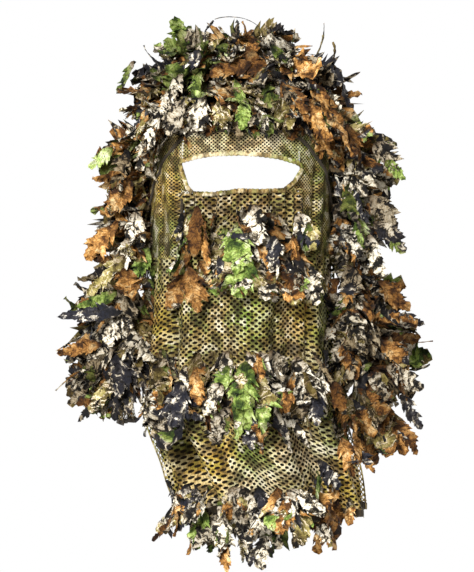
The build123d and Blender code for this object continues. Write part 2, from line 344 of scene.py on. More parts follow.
def band_material(name, light, dark, roughness, ribs):
    """Woven tape or webbing: fine ribs along the band and a little fading."""
    g = Graph(name, roughness, 0.1)
    printed = g.attribute("print", "Vector")
    x, y, _ = g.split(printed)
    rib = g.math("PINGPONG", g.math("MULTIPLY", x, ribs), 1.0)
    pick = g.math("PINGPONG", g.math("MULTIPLY", y, ribs * 1.7), 1.0)
    weave = g.math("MULTIPLY", rib, g.math("ADD", g.math("MULTIPLY", pick, 0.5), 0.5))
    fade = g.noise(printed, 40.0, 4.0)[0]
    base = g.mix(fade, (*dark, 1), (*light, 1))
    colour = g.mix(0.6, base, g.ramp(weave, [(0.0, 0.35), (0.6, 1)]), "MULTIPLY")
    g.bump(weave, 0.0005, 0.9)
    return g.finish(colour)


def buckle_material():
    """Dark moulded plastic, a little scuffed."""
    g = Graph("buckle_plastic", 0.42)
    place = g.node("ShaderNodeTexCoord").outputs["Object"]
    grain = g.noise(place, 1600.0, 2.0)[0]
    scuffs = g.noise(place, 160.0, 5.0, 0.7)[0]
    colour = g.ramp(
        scuffs, [(0.40, (0.045, 0.050, 0.030)), (0.62, (0.075, 0.080, 0.052)), (0.72, (0.14, 0.14, 0.11))]
    )
    g.bump(grain, 0.0002, 0.35)
    return g.finish(colour)


LEAF_CLOTH = leaf_material()
MESH_CLOTH = mesh_material()
SHADE_SHEET_CLOTH = lining_material()
TAPE = band_material("seam_tape", (0.060, 0.045, 0.024), (0.018, 0.013, 0.008), 0.85, 700)
WEBBING = band_material("strap_webbing", (0.17, 0.18, 0.10), (0.075, 0.080, 0.045), 0.8, 600)
BUCKLE = buckle_material()


# ---- making pieces
ATTRIBUTE_KINDS = {1: ("FLOAT", "value"), 3: ("FLOAT_VECTOR", "vector"), 4: ("FLOAT_COLOR", "color")}


def add_attribute(piece, name, values):
    """A value for each of the mesh's points, with 1, 3 or 4 numbers to each."""
    values = np.asarray(values, np.float32)
    kind, field = ATTRIBUTE_KINDS[values.size // len(values)]
    piece.data.attributes.new(name, kind, "POINT").data.foreach_set(field, values.ravel())


def bend_heights(name, body):
    """Two heights, at the hinge and below it, for a piece that starts at its body's hinge; make_piece only
    tests whether there are any.
    """
    if name.startswith(("veil_front_mesh", "veil_shade_sheet", "eye_edge_hem", "veil_leaves_cheek")):
        return SLOT_LOW, SLOT_LOW - 50 * MM
    if body.startswith("flap") and ("_upper" in name or name.endswith(("_mesh", "_edge_binding"))):
        return FLAP_HINGE, FLAP_HINGE - 60 * MM
    return None


def make_piece(name, points, faces, material, body, node=None):
    """A mesh piece that rides its body, or, where bend_heights gives heights, stays unparented in place."""
    mesh = bpy.data.meshes.new(name)
    mesh.from_pydata([tuple(p) for p in points], [], [tuple(int(i) for i in f) for f in faces])
    mesh.polygons.foreach_set("use_smooth", [True] * len(mesh.polygons))
    mesh.materials.append(material)
    piece = bpy.data.objects.new(name, mesh)
    bpy.context.scene.collection.objects.link(piece)
    heights = bend_heights(name, body)
    if heights:
        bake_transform(piece)
    else:
        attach(piece, body)
    if node:
        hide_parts(node)
    return piece


# ---- leaves
ACROSS = np.array([-1.0, -0.66, -0.30, 0.0, 0.30, 0.66, 1.0])
LOBE_STEPS = np.array([0.04, 0.18, 0.30, 0.44, 0.56, 0.70, 0.84, 1.0])
LOBE_RISE = np.array([0.0, 0.36, 0.20, 0.64, 0.44, 0.86, 0.72, 1.0])


class LeafBatch:
    """Leaves gathered into one piece."""

    def __init__(self, fresh=1.0):
        """Its one argument paints light and shade on the leaves: it scales their random brightness, lower for
        rows that hang in shade.
        """
        self.fresh = fresh
        self.points, self.faces = [], []
        self.values = {"print": [], "leaf": [], "motif": [], "pure": []}
        self.count = 0

    def add(self, root, down, out, length, width, motif, pure, lobes, depth, tilt, curl, cup, twist, narrow):
        """One leaf hanging from its root.

        down and out span the plane that it starts in; pure is how much of it keeps its motif, depth how deep
        its lobes are cut, tilt how far it leans out (radians), curl how far it bends over its length, cup how
        much its sides roll, and twist how far its tip turns. narrow is 1 for a strip, otherwise 0.
        """
        side = unit(np.cross(down, out))
        along = np.concatenate([[0.0], ((np.arange(lobes)[:, None] + LOBE_STEPS) / lobes).ravel()])
        rise = np.concatenate([[0.0], np.tile(LOBE_RISE, lobes)])
        envelope = np.sin(pi * along ** rng.uniform(0.7, 1.15)) ** 0.6 * (1 - 0.2 * along)
        envelope = np.maximum(envelope, 0.07 + 0.05 * narrow)
        envelope[-1] = 0.02
        halves = []
        for _ in (0, 1):
            strength = np.concatenate([[0.0], np.repeat(rng.uniform(0.55, 1.25, lobes), len(LOBE_STEPS))])
            cut = 1 - np.clip(depth * strength, 0, 0.8) * (1 - rise)
            halves.append(envelope * cut * rng.uniform(0.75, 1.15) * rng.uniform(0.86, 1.12, len(along)))
        half = np.where(ACROSS[None, :] < 0, halves[0][:, None], halves[1][:, None]) * width
        wide = ACROSS[None, :] * half
        sweep = 0.55 * np.abs(wide) * (rise[:, None] - 0.15)
        run = along[:, None] * length + sweep

        # The midrib bends in the plane of down and out.
        steps = np.linspace(0, 1, 25)
        angle = tilt + curl * steps + 0.12 * np.sin(2 * pi * (steps * 1.3 + rng.random()))
        way_down = np.concatenate([[0], np.cumsum(np.cos(angle[:-1]))]) / 24 * length
        way_out = np.concatenate([[0], np.cumsum(np.sin(angle[:-1]))]) / 24 * length
        t = np.clip(run / length, 0, 1)
        lean = tilt + curl * t
        phase = rng.random(3) * 6.3
        roll = cup * wide * np.abs(wide) / max(width, 1e-6)
        ripple = 0.16 * width * np.sin(7 * t + 2.2 * ACROSS[None, :] + phase[0]) * np.abs(ACROSS)[None, :]
        ripple = ripple + 0.07 * width * np.sin(15 * t + 5 * ACROSS[None, :] + phase[1])
        ripple = ripple + 0.05 * width * np.sin(23 * t - 7 * ACROSS[None, :] + phase[2])
        crease = -0.10 * width * (1 - np.abs(ACROSS))[None, :] ** 2
        turn = twist * t
        across_part = wide * np.cos(turn) - (roll + ripple) * np.sin(turn)
        normal_part = wide * np.sin(turn) + (np.abs(roll) * np.sign(cup) + ripple) * np.cos(turn) + crease
        drop = np.interp(t, steps, way_down) - normal_part * np.sin(lean)
        stand = np.interp(t, steps, way_out) + normal_part * np.cos(lean)
        points = root + drop[..., None] * down + stand[..., None] * out + across_part[..., None] * side

        rows, columns = t.shape
        index = np.arange(rows * columns).reshape(rows, columns) + self.count
        quads = np.stack([index[:-1, :-1], index[:-1, 1:], index[1:, 1:], index[1:, :-1]], -1).reshape(-1, 4)
        place = rng.uniform(0, 4, 2)
        spin = rng.uniform(0, 2 * pi)
        px, py = wide * cos(spin) - run * sin(spin), wide * sin(spin) + run * cos(spin)
        self.points.append(points.reshape(-1, 3))
        self.faces.append(quads)
        printed = np.stack([px + place[0], py + place[1], np.zeros_like(px)], -1)
        leaf = np.stack(np.broadcast_arrays(ACROSS, t, rng.random() * self.fresh), -1)
        self.values["print"].append(printed.reshape(-1, 3))
        self.values["leaf"].append(leaf.reshape(-1, 3))
        self.values["motif"].append(np.full(rows * columns, (MOTIFS.index(motif) + 0.5) * MOTIF_STEP))
        self.values["pure"].append(np.full(rows * columns, pure))
        self.count += rows * columns

    def build(self, name, body, node):
        """Makes the piece."""
        points, faces = np.concatenate(self.points), np.concatenate(self.faces)
        piece = make_piece(name, points, faces, LEAF_CLOTH, body, node)
        for attribute, parts in self.values.items():
            add_attribute(piece, attribute, np.concatenate(parts))


# ---- cloth surfaces
CELL = (6.7 * MM, 5.4 * MM)  # pitch of the veil's holes, across and down
FINE_CELL = (4.2 * MM, 3.4 * MM)  # the hood's
HOLE = 0.53  # a hole's size in its cell
CORNERS = [(1, 0), (0.5, 0.5), (0, 1), (-0.5, 0.5), (-1, 0), (-0.5, -0.5), (0, -1), (0.5, -0.5)]


def net(low, high, keep, cell):
    """A flat lattice of diamond cells with a hole in each: its points and faces, in cloth coordinates."""
    across, down = cell[0] / 2, cell[1] / 2
    cells = []
    for j in range(int(low[1] / down), int(ceil(high[1] / down)) + 1):
        for i in range(int(low[0] / cell[0]) - 1, int(ceil(high[0] / cell[0])) + 1):
            cells.append(((i + (j % 2) / 2) * cell[0], j * down))
    cells = np.array(cells)
    cells = cells[keep(cells[:, 0], cells[:, 1])]
    ring = np.array(CORNERS) * (across, down)
    angles = np.arctan2(ring[:, 1], ring[:, 0])
    hole = np.stack([np.cos(angles) * across, np.sin(angles) * down], -1) * HOLE
    outer = cells[:, None, :] + ring[None]
    inner = cells[:, None, :] + hole[None]
    keys = np.round(outer.reshape(-1, 2) / (0.1 * MM)).astype(int)
    _, first, shared = np.unique(keys, axis=0, return_index=True, return_inverse=True)
    points = np.concatenate([outer.reshape(-1, 2)[first], inner.reshape(-1, 2)])
    outer_index = shared.reshape(-1, len(CORNERS))
    inner_index = np.arange(len(cells) * len(CORNERS)).reshape(-1, len(CORNERS)) + len(first)
    faces = np.stack(
        [outer_index, np.roll(outer_index, -1, 1), np.roll(inner_index, -1, 1), inner_index], -1
    ).reshape(-1, 4)
    return points, faces


def declare_sheet(piece, flat_form):
    """Works out the area and size of the cloth that a piece is cut from, as its points and faces lie in cloth
    coordinates, and keeps neither.
    """
    points, faces = flat_form
    x, y = points[faces][..., 0], points[faces][..., 1]
    area = 0.5 * float(np.abs((x * np.roll(y, -1, 1) - np.roll(x, -1, 1) * y).sum(1)).sum())
    size = tuple(float(value) for value in np.ptp(points, axis=0))


def printed_piece(name, points, faces, flat, body, node):
    """A piece with the mesh's print on it; flat gives its points' places on the cloth."""
    piece = make_piece(name, points, faces, MESH_CLOTH, body, node)
    add_attribute(piece, "print", np.column_stack([flat, np.zeros(len(flat))]))
    add_attribute(piece, "tint", tint_at(points))
    return piece


def net_piece(name, surface, low, high, keep, body, node, cell=CELL):
    """A mesh panel: the lattice where keep says so, laid on a surface. Gives it with its flat form."""
    flat, faces = net(low, high, keep, cell)
    piece = printed_piece(name, surface(flat[:, 0], flat[:, 1]), faces, flat, body, node)
    return piece, (flat, faces)


# Broad colours of the print where the mesh shows, and painted shade on the crown's mesh. By colour: x, z and
# radius, in millimetres.
CREAM, SAND, TAN = (0.90, 0.80, 0.56), (0.25, 0.20, 0.09), (0.38, 0.26, 0.12)
MOSS, LEAF_GREEN, OCHRE = (0.16, 0.17, 0.045), (0.17, 0.31, 0.035), (0.58, 0.37, 0.055)
UMBER, PAINTED_SHADE = (0.13, 0.085, 0.035), (0.055, 0.042, 0.020)
TINTS = {
    MOSS: [(-90, 25, 30), (83, 6, 22), (92, -30, 18), (-90, -70, 30), (85, -60, 30), (-55, -155, 22),
           (90, -185, 20), (-60, -262, 24), (88, -228, 18)],
    TAN: [(-50, 14, 15), (5, -36, 14), (55, -30, 14), (-86, -190, 18), (46, -155, 14), (48, -254, 18)],
    OCHRE: [(0, 46, 18), (-83, -22, 18), (-86, -150, 18), (60, -147, 12), (-45, -298, 18), (-24, -280, 16),
            (95, -305, 20)],
    LEAF_GREEN: [(50, 16, 12), (10, -150, 17), (90, -146, 18), (10, -281, 15), (33, -236, 16),
                 (82, -256, 15)],
    CREAM: [(-30, 26, 14), (5, 24, 12), (35, 30, 14), (62, -270, 20), (12, -304, 18)],
    UMBER: [(-42, -34, 14), (-20, -36, 14), (30, -36, 14)],
    SAND: [(-28, -150, 18), (-20, -182, 20), (30, -170, 18)],
    # Painted shade: the crown's mesh is dark brown, so that it reads as shadow between the leaves.
    PAINTED_SHADE: [(x, z, 26) for z in (66, 100, 130) for x in (-75, -45, -15, 15, 45, 75)],
}
BASE_TINT, BASE_WEIGHT = (0.40, 0.32, 0.14), 0.15


def tint_at(points):
    """The broad colour of the print at each point."""
    total = np.full((len(points), 1), BASE_WEIGHT)
    mixed = total * np.array(BASE_TINT)
    for colour, places in TINTS.items():
        for x, z, radius in places:
            away = (points[:, 0] - x * MM) ** 2 + (points[:, 2] - z * MM) ** 2
            weight = np.exp(-away / (radius * MM) ** 2)[:, None]
            total = total + weight
            mixed = mixed + weight * np.array(colour)
    return np.column_stack([mixed / total, np.ones(len(points))])


ARC_STEPS = 400


def arc_table(a, b):
    """Angles from the front, and the arc length to each, on an ellipse."""
    angles = np.linspace(-pi, pi, ARC_STEPS)
    middle = (angles[1:] + angles[:-1]) / 2
    lengths = np.sqrt((a * np.cos(middle)) ** 2 + (b * np.sin(middle)) ** 2) * np.diff(angles)
    arc = np.concatenate([[0], np.cumsum(lengths)])
    return angles, arc - np.interp(0, angles, arc)


HOOD_ANGLES, HOOD_ARC = arc_table(HALF_WIDTH, HALF_DEPTH)


def wrinkle(u, v, size, amount):
    """Small soft creases, never quite regular."""
    a = np.sin(u / size * 2.1 + 1.7 * np.sin(v / size * 1.3))
    b = np.sin(v / size * 1.7 + 2.1 * np.sin(u / size * 0.9 + 1.0))
    return amount * (0.6 * a + 0.4 * a * b)


# Folds of the wall beside the eye slot: place, slant down the wall, half width and height outwards.
WALL_FOLDS = (
    (-71 * MM, 0.02, 3.2 * MM, -0.050), (-84 * MM, 0.10, 7 * MM, 0.035), (88 * MM, -0.06, 3.2 * MM, -0.050),
    (100 * MM, -0.08, 6 * MM, 0.030), (-104 * MM, 0.05, 4 * MM, -0.030),
)


def hood_wall(u, v):
    """The hood's side wall: u runs round it from the front, v is down from eye height."""
    angle = np.interp(u, HOOD_ARC, HOOD_ANGLES)
    axes = np.array([hood_axes(-h) for h in v])
    grow = 1 + wrinkle(u, v, 0.016, 0.010)
    started = np.clip((v + 12 * MM) / (30 * MM), 0, 1)
    for place, slant, half, height in WALL_FOLDS:
        grow = grow + height * started * np.exp(-((u - place - slant * v) / half) ** 2)
    x = axes[:, 0] * np.sin(angle) * grow
    y = -axes[:, 1] * np.cos(angle) * grow
    return np.column_stack([x, y, -v])


DOME_Z = DOME_TOP - np.concatenate([np.linspace(0, 4 * MM, 30), np.linspace(4.3 * MM, DOME_TOP, 90)])
DOME_AXES = np.array([hood_axes(z) for z in DOME_Z])
DOME_RUN = np.concatenate([[0], np.cumsum(np.hypot(np.diff(DOME_Z), np.diff(DOME_AXES.mean(1))))])


def hood_crown(p, q):
    """The dome: p and q are cloth coordinates from its top."""
    away = np.hypot(p, q)
    angle = np.arctan2(q, p)
    z = np.interp(away, DOME_RUN, DOME_Z)
    axes = np.column_stack([np.interp(away, DOME_RUN, DOME_AXES[:, i]) for i in (0, 1)])
    grow = 1 + wrinkle(p, q, 0.018, 0.006)
    return np.column_stack([axes[:, 0] * np.cos(angle) * grow, axes[:, 1] * np.sin(angle) * grow, z])


# ---- the veil's surface
VEIL_LEVELS = np.array([0, 34, 92, 152, 217, 272, 317]) * MM  # down from the slot
VEIL_HALF_WIDTHS = np.array([90, 91, 92, 95, 97, 94, 91]) * MM
VEIL_HALF_DEPTHS = np.array([110, 115, 121, 123, 123, 120, 115]) * MM
VEIL_SWING = np.array([0, 0, 0, 0, 3, 20, 32]) * MM  # the hem has swung to the wearer's left
VEIL_ANGLES, VEIL_ARC = arc_table(0.095, 0.122)
VEIL_EDGE = np.interp(radians(84), VEIL_ANGLES, VEIL_ARC)
VEIL_LONG = SLOT_LOW - VEIL_HEM
# Places across the veil of its ridges (+) and valleys (-), and how strong each is.
FOLDS_AT = np.array([-190, -150, -120, -92, -70, -44, -12, 28, 68, 96, 130, 160, 190]) * MM
FOLDS = np.array([0.0, 0.5, -0.6, 0.9, -1.2, 0.8, -0.9, 1.0, -1.2, 0.9, -0.6, 0.5, 0.0])
# Sharp creases: place, half width, depth, and the distances down over which each deepens and fades.
CREASES = (
    (-70 * MM, 4.5 * MM, 13 * MM, 0.020, 0.30), (90 * MM, 4.5 * MM, 13 * MM, 0.020, 0.30),
    (-28 * MM, 2.5 * MM, 6 * MM, 0.001, 0.07), (3 * MM, 2.5 * MM, 5 * MM, 0.001, 0.05),
    (40 * MM, 2.5 * MM, 5 * MM, 0.001, 0.06), (-50 * MM, 2.5 * MM, 5 * MM, 0.001, 0.05),
    (48 * MM, 5 * MM, 11 * MM, 0.260, 0.90), (-30 * MM, 5 * MM, 9 * MM, 0.280, 0.90),
)


# How far the veil's gathers and folds stand out, and the distance down over which the gathers fade.
GATHER_HEIGHT, GATHER_FADE, FOLD_HEIGHT = 3.2 * MM, 0.055, 11.5 * MM


def smooth_through(at, places, values):
    """A soft curve through the values: a cosine step from each to the next."""
    i = np.clip(np.searchsorted(places, at) - 1, 0, len(places) - 2)
    t = np.clip((at - places[i]) / (places[i + 1] - places[i]), 0, 1)
    t = (1 - np.cos(pi * t)) / 2
    return values[i] * (1 - t) + values[i + 1] * t


# The eye slot's upper and lower edges: x and z.
SLOT_ROOF = np.array(
    [(-59, 5.5), (-43, 9.5), (-26, 11.7), (0, 12.2), (16, 11.2), (36, 9), (53, 4.5), (59, 0.7)]
) * MM
SLOT_FLOOR = np.array(
    [(-59, 5.5), (-56, -5), (-52, -17), (-47, -22.5), (-26, -23.5), (-2, -20.3), (19, -20.8), (42, -19.3),
     (51, -12), (59, 0.7)]
) * MM
VEIL_TOP = SLOT_FLOOR[3:8]  # the part of the lower edge that is the veil's


def slot_floor(x):
    """The height of the eye slot's lower edge."""
    return np.interp(x, *SLOT_FLOOR.T)


def slot_roof(x):
    """The height of the eye slot's upper edge."""
    return np.interp(x, *SLOT_ROOF.T)


def beside_slot(x, z):
    """The slanted corners below the slot's ends, which belong to the temple panels."""
    outside = (x < VEIL_TOP[0, 0]) | (x > VEIL_TOP[-1, 0])
    return outside & (z < slot_floor(x) - 1 * MM) & (z > SLOT_LOW - 3 * MM)


def veil_surface(u, v, lift=0.0):
    """The hanging veil: u is the cloth's place from its middle, v its distance down from the slot."""
    angle = np.interp(u, VEIL_ARC, VEIL_ANGLES)
    a = np.interp(v, VEIL_LEVELS, VEIL_HALF_WIDTHS)
    b = np.interp(v, VEIL_LEVELS, VEIL_HALF_DEPTHS)
    swing = np.interp(v, VEIL_LEVELS, VEIL_SWING)
    gathers = np.exp(-v / GATHER_FADE) * (np.sin(u * 500 + 1.5 * np.sin(u * 95)) + 0.9 * np.sin(u * 287 + 2))
    slant = u + 0.10 * v * np.sin(v * 9 + 0.6)
    growing = np.clip((v - 0.03) / 0.20, 0, 1) ** 1.1
    folds = smooth_through(slant, FOLDS_AT, FOLDS)
    creases = sum(
        depth * np.clip(v / start, 0, 1) * np.exp(-v / fade) * np.exp(-((slant - place) / half) ** 2)
        for place, half, depth, start, fade in CREASES
    )
    out = GATHER_HEIGHT * gathers + FOLD_HEIGHT * growing * folds - creases + lift
    out = out + wrinkle(u, v * 0.6, 0.017, 1.3 * MM)
    x, y = swing + a * np.sin(angle), -b * np.cos(angle)
    nx, ny = np.sin(angle) / a, -np.cos(angle) / b
    size = np.hypot(nx, ny)
    top = np.interp(x, *VEIL_TOP.T)
    dip = 0.004 * folds * growing
    z = top - v * (top - VEIL_HEM) / VEIL_LONG - dip
    return np.column_stack([x + out * nx / size, y + out * ny / size, z])


def veil_at(x, z, lift):
    """The veil's point nearest to x and z, and the outward direction there."""
    u = np.linspace(-VEIL_EDGE, VEIL_EDGE, 240)
    v = np.clip(SLOT_LOW - z, 0, VEIL_LONG)
    row = veil_surface(u, np.full_like(u, v), lift)
    k = int(np.argmin(np.abs(row[:, 0] - x) + 0.2 * np.abs(u)))
    k = min(max(k, 1), len(u) - 2)
    along = unit(row[k + 1] - row[k - 1])
    out = unit(np.cross(along, np.array([0, 0, 1.0])))
    point = row[k] + np.array([0, 0, z - row[k][2]])
    return point, out


# ---- mesh panels
def hood_keep(test):
    """Turns a test on x, y, z into one on the wall's cloth coordinates."""
    return lambda u, v: test(*hood_wall(u, v).T)


WALL_REACH = HOOD_ARC[-1]

brow, brow_flat = net_piece(
    "brow_band_mesh", hood_wall, (-0.13, -BROW_TOP), (0.13, -SLOT_LOW),
    hood_keep(lambda x, y, z: (y < 0) & (np.abs(x) < BROW_HALF) & (z > np.where(
        np.abs(x) < SLOT_HALF, slot_roof(x) + 1 * MM, SLOT_TOP
    ))),
    "hood", "brow_band", FINE_CELL,
)
declare_sheet(brow, brow_flat)


def temple_keep(side):
    """Where the temple panel of one side is, on the wall."""
    def test(x, y, z):
        front = np.where(z > SLOT_TOP, side * x > BROW_HALF, (side * x > SLOT_HALF) | beside_slot(x, z))
        return (side * x > 0) & np.where(y < 0, front, side * x > REAR_HALF)
    return hood_keep(test)


for side, side_name in SIDES:
    temple, temple_flat = net_piece(
        f"temple_{side_name}_mesh", hood_wall, (-WALL_REACH, -BROW_TOP), (WALL_REACH, -HOOD_LOW),
        temple_keep(side), "hood", f"temple_panel_{side_name}", FINE_CELL,
    )
    declare_sheet(temple, temple_flat)
nape, (nape_points, nape_faces) = net_piece(
    "nape_band_mesh", hood_wall, (-WALL_REACH, -REAR_LOW), (WALL_REACH, -HOOD_LOW),
    hood_keep(lambda x, y, z: (y > 0) & (np.abs(x) < REAR_HALF)), "hood", "nape_band",
)
nape_points[:, 0] %= 2 * WALL_REACH  # the wall's cloth coordinate starts anew in the middle of the back
declare_sheet(nape, (nape_points, nape_faces))
CROWN_REACH = np.interp(-BROW_TOP, -DOME_Z, DOME_RUN)


def crown_keep(low, high):
    """Where a crown panel is, between two places in x."""
    def keep(p, q):
        x = hood_crown(p, q)[:, 0]
        return (np.hypot(p, q) < CROWN_REACH) & (x > low) & (x < high)
    return keep


EVERYWHERE = 1  # farther out than anything on the mask
for name, low, high in (
    ("right", -EVERYWHERE, -SEAM_HALF), ("middle", -SEAM_HALF, SEAM_HALF), ("left", SEAM_HALF, EVERYWHERE),
):
    crown, crown_flat = net_piece(
        f"crown_{name}_mesh", hood_crown, (-CROWN_REACH, -CROWN_REACH), (CROWN_REACH, CROWN_REACH),
        crown_keep(low, high), "hood", f"crown_panel_{name}",
    )
    declare_sheet(crown, crown_flat)
SHOULDER = SLOT_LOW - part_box("veil_fold_left")[1][2]
FOLD_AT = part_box("veil_front")[1][0]


def veil_keep(low, high):
    """Where a panel of the veil is, between two places in x."""
    def keep(u, v):
        x = veil_surface(u, v)[:, 0]
        inside = (np.abs(u) < VEIL_EDGE) & (v < VEIL_LONG) & (v > 1 * MM) & (x > low) & (x <= high)
        return inside & ((v > SHOULDER - 6 * MM) | (np.abs(x) < SLOT_HALF))
    return keep


for name, node, low, high in (
    ("veil_front_mesh", "veil_front", -FOLD_AT, FOLD_AT),
    ("veil_fold_left_mesh", "veil_fold_left", FOLD_AT, EVERYWHERE),
    ("veil_fold_right_mesh", "veil_fold_right", -EVERYWHERE, -FOLD_AT),
):
    veil, veil_flat = net_piece(
        name, veil_surface, (-VEIL_EDGE, 0), (VEIL_EDGE, VEIL_LONG), veil_keep(low, high), "veil", node
    )
    declare_sheet(veil, veil_flat)


# ---- painted shade: black sheets behind the mesh, for the dark inside that shows through its holes
SHADE_SHEET_STEP = 3 * MM
SHADE_SHEET_BACK = 3.2 * MM


def lining(name, surface, low, high, keep, body, node):
    """A thin black sheet of painted shade: a fine grid on the surface, where keep says so."""
    us, vs = (np.arange(low[i], high[i] + SHADE_SHEET_STEP, SHADE_SHEET_STEP) for i in (0, 1))
    u, v = (grid.ravel() for grid in np.meshgrid(us, vs))
    inside = keep(u, v)
    index = np.arange(len(u)).reshape(len(vs), len(us))
    quads = np.stack([index[:-1, :-1], index[:-1, 1:], index[1:, 1:], index[1:, :-1]], -1).reshape(-1, 4)
    quads = quads[inside[quads].all(1)]
    used = np.unique(quads)
    faces = np.searchsorted(used, quads)
    piece = make_piece(name, surface(u[used], v[used]), faces, SHADE_SHEET_CLOTH, body, node)
    declare_sheet(piece, (np.column_stack([u[used], v[used]]), faces))


def outwards(points, *half_sizes):
    """Unit vectors straight out of an ellipse or ellipsoid of these half sizes."""
    outs = points[:, :len(half_sizes)] / np.array(half_sizes) ** 2
    outs = np.column_stack([outs, np.zeros((len(points), 3 - len(half_sizes)))])
    return outs / np.linalg.norm(outs, axis=1, keepdims=True)


def hood_lining_wall(u, v):
    """The hood's wall, a little farther in."""
    points = hood_wall(u, v)
    return points - outwards(points, HALF_WIDTH, HALF_DEPTH) * SHADE_SHEET_BACK


lining(
    "brow_shade_sheet", hood_lining_wall, (-0.11, -BROW_TOP), (0.11, -SLOT_LOW),
    hood_keep(lambda x, y, z: (y < 0) & (np.abs(x) < SLOT_HALF + 2 * MM) & (z > slot_roof(x))),
    "hood", "brow_lining",
)
for side, side_name in SIDES:
    lining(
        f"temple_shade_sheet_{side_name}", hood_lining_wall, (-WALL_REACH, -BROW_TOP),
        (WALL_REACH, -HOOD_LOW), hood_keep(lambda x, y, z, s=side: (s * x > 0) & np.where(
            y < 0, (s * x > SLOT_HALF) | beside_slot(x, z), s * x > REAR_HALF
        )),
        "hood", f"temple_lining_{side_name}",
    )
lining(
    "veil_shade_sheet", lambda u, v: veil_surface(u, v, -SHADE_SHEET_BACK), (-VEIL_EDGE, 2 * MM),
    (VEIL_EDGE, VEIL_LONG), veil_keep(-EVERYWHERE, EVERYWHERE), "veil", "veil_lining",
)


# ---- bands: bindings, elastics, tapes and the strap
# A band's section: places across it and out of it, as shares of its width and thickness.
SECTION = (
    (-0.5, 0.0), (-0.46, 0.5), (-0.2, 0.62), (0.2, 0.62), (0.46, 0.5), (0.5, 0.0),
    (0.46, -0.5), (-0.46, -0.5),
)
RUFFLE_PITCH = 5 * MM


def band(name, centres, outs, width, thick, material, body, node=None, ruffle=0.0):
    """A flat band along a line of points; ruffle gathers it in small waves."""
    centres, outs = np.array(centres), np.array(outs)
    along = np.gradient(centres, axis=0)
    run = np.concatenate([[0], np.cumsum(np.linalg.norm(np.diff(centres, axis=0), axis=1))])
    points, printed, faces = [], [], []
    for i, (centre, out) in enumerate(zip(centres, outs)):
        way = unit(along[i])
        up = unit(np.cross(unit(out), way))
        out = unit(np.cross(way, up))
        wave = np.sin(run[i] / RUFFLE_PITCH * 2 * pi + 1.3 * np.sin(run[i] * 90)) * (ruffle > 0)
        for across, rise in SECTION:
            spread = across * width * (1 + 0.12 * wave)
            points.append(centre + up * spread + out * (rise * thick + ruffle * wave * (0.4 + across)))
            printed.append((run[i], across * width, 0))
    count = len(SECTION)
    for i in range(len(centres) - 1):
        for k in range(count):
            near, far = i * count + k, i * count + (k + 1) % count
            faces.append((near, far, far + count, near + count))
    faces.append(tuple(reversed(range(count))))
    faces.append(tuple((len(centres) - 1) * count + k for k in range(count)))
    piece = make_piece(name, points, faces, material, body, node)
    add_attribute(piece, "print", printed)
    if material is MESH_CLOTH:
        add_attribute(piece, "tint", tint_at(np.array(points)))


def wall_line(us, heights, proud):
    """Points on the hood's wall and their outward directions."""
    points = hood_wall(np.array(us), -np.array(heights))
    outs = outwards(points, HALF_WIDTH, HALF_DEPTH)
    return points + outs * proud, outs


def wall_u(x):
    """The wall's cloth coordinate of a place on the hood's front."""
    return np.interp(np.arcsin(np.clip(x / HALF_WIDTH, -1, 1)), HOOD_ANGLES, HOOD_ARC)


def hem_band(name, line, outs, body, node, ruffle):
    """A turned-in edge of the printed mesh itself."""
    band(name, line, outs, 4.5 * MM, 1.6 * MM, MESH_CLOTH, body, node, ruffle)


def along_edge(edge, count):
    """Even steps along an edge given by corner points."""
    run = np.concatenate([[0], np.cumsum(np.hypot(*np.diff(edge, axis=0).T))])
    steps = np.linspace(0, run[-1], count)
    return np.interp(steps, run, edge[:, 0]), np.interp(steps, run, edge[:, 1])


xs, zs = along_edge(SLOT_ROOF, 150)
line, outs = wall_line(wall_u(xs), zs + 1 * MM, 0.5 * MM)
hem_band("brow_edge_hem", line, outs, "hood", "brow_edge_elastic", 0.6 * MM)
for name, edge in (("slot_end_hem_left", SLOT_FLOOR[7:]), ("slot_end_hem_right", SLOT_FLOOR[:4])):
    xs, zs = along_edge(edge, 40)
    line, outs = wall_line(wall_u(xs), zs - 1.5 * MM, 0.6 * MM)
    hem_band(name, line, outs, "hood", None, 0.5 * MM)
xs, _ = along_edge(VEIL_TOP, 150)
us = np.interp(np.arcsin(xs / VEIL_HALF_WIDTHS[0]), VEIL_ANGLES, VEIL_ARC)
line = veil_surface(us, np.full(len(us), 2.5 * MM))
outs = outwards(line, HALF_WIDTH, HALF_DEPTH)
hem_band("eye_edge_hem", line + outs * 0.6 * MM, outs, "veil", "eye_edge_elastic", 0.8 * MM)
SIDE_SEAM = np.array([(44, 38), (60, 26), (76, 8), (86, -14), (91, -40)]) * MM  # x and z, mirrored
for side, side_name in SIDES:
    xs, zs = along_edge(SIDE_SEAM, 70)
    line, outs = wall_line(wall_u(side * xs), zs, 1.0 * MM)
    band(
        f"temple_seam_binding_{side_name}", line, outs, 2.6 * MM, 1.8 * MM, TAPE, "hood",
        ruffle=0.3 * MM,
    )
    zs = np.linspace(SLOT_LOW - 4 * MM, HOOD_LOW, 40)
    line, outs = wall_line(np.full(len(zs), wall_u(side * SLOT_HALF)), zs, 0.4 * MM)
    band(
        f"temple_edge_hem_{side_name}", line, outs, 3 * MM, 1.4 * MM, TAPE, "hood", ruffle=0.4 * MM,
    )
BROW_REACH = np.interp(np.arcsin(BROW_HALF / HALF_WIDTH), HOOD_ANGLES, HOOD_ARC)
us = np.linspace(-BROW_REACH, BROW_REACH, 120)
line, outs = wall_line(us, np.full(len(us), BROW_TOP - 3 * MM), 0.8 * MM)
band("brow_seam_binding", line, outs, 2.6 * MM, 1.4 * MM, TAPE, "hood", "brow_seam_piping")
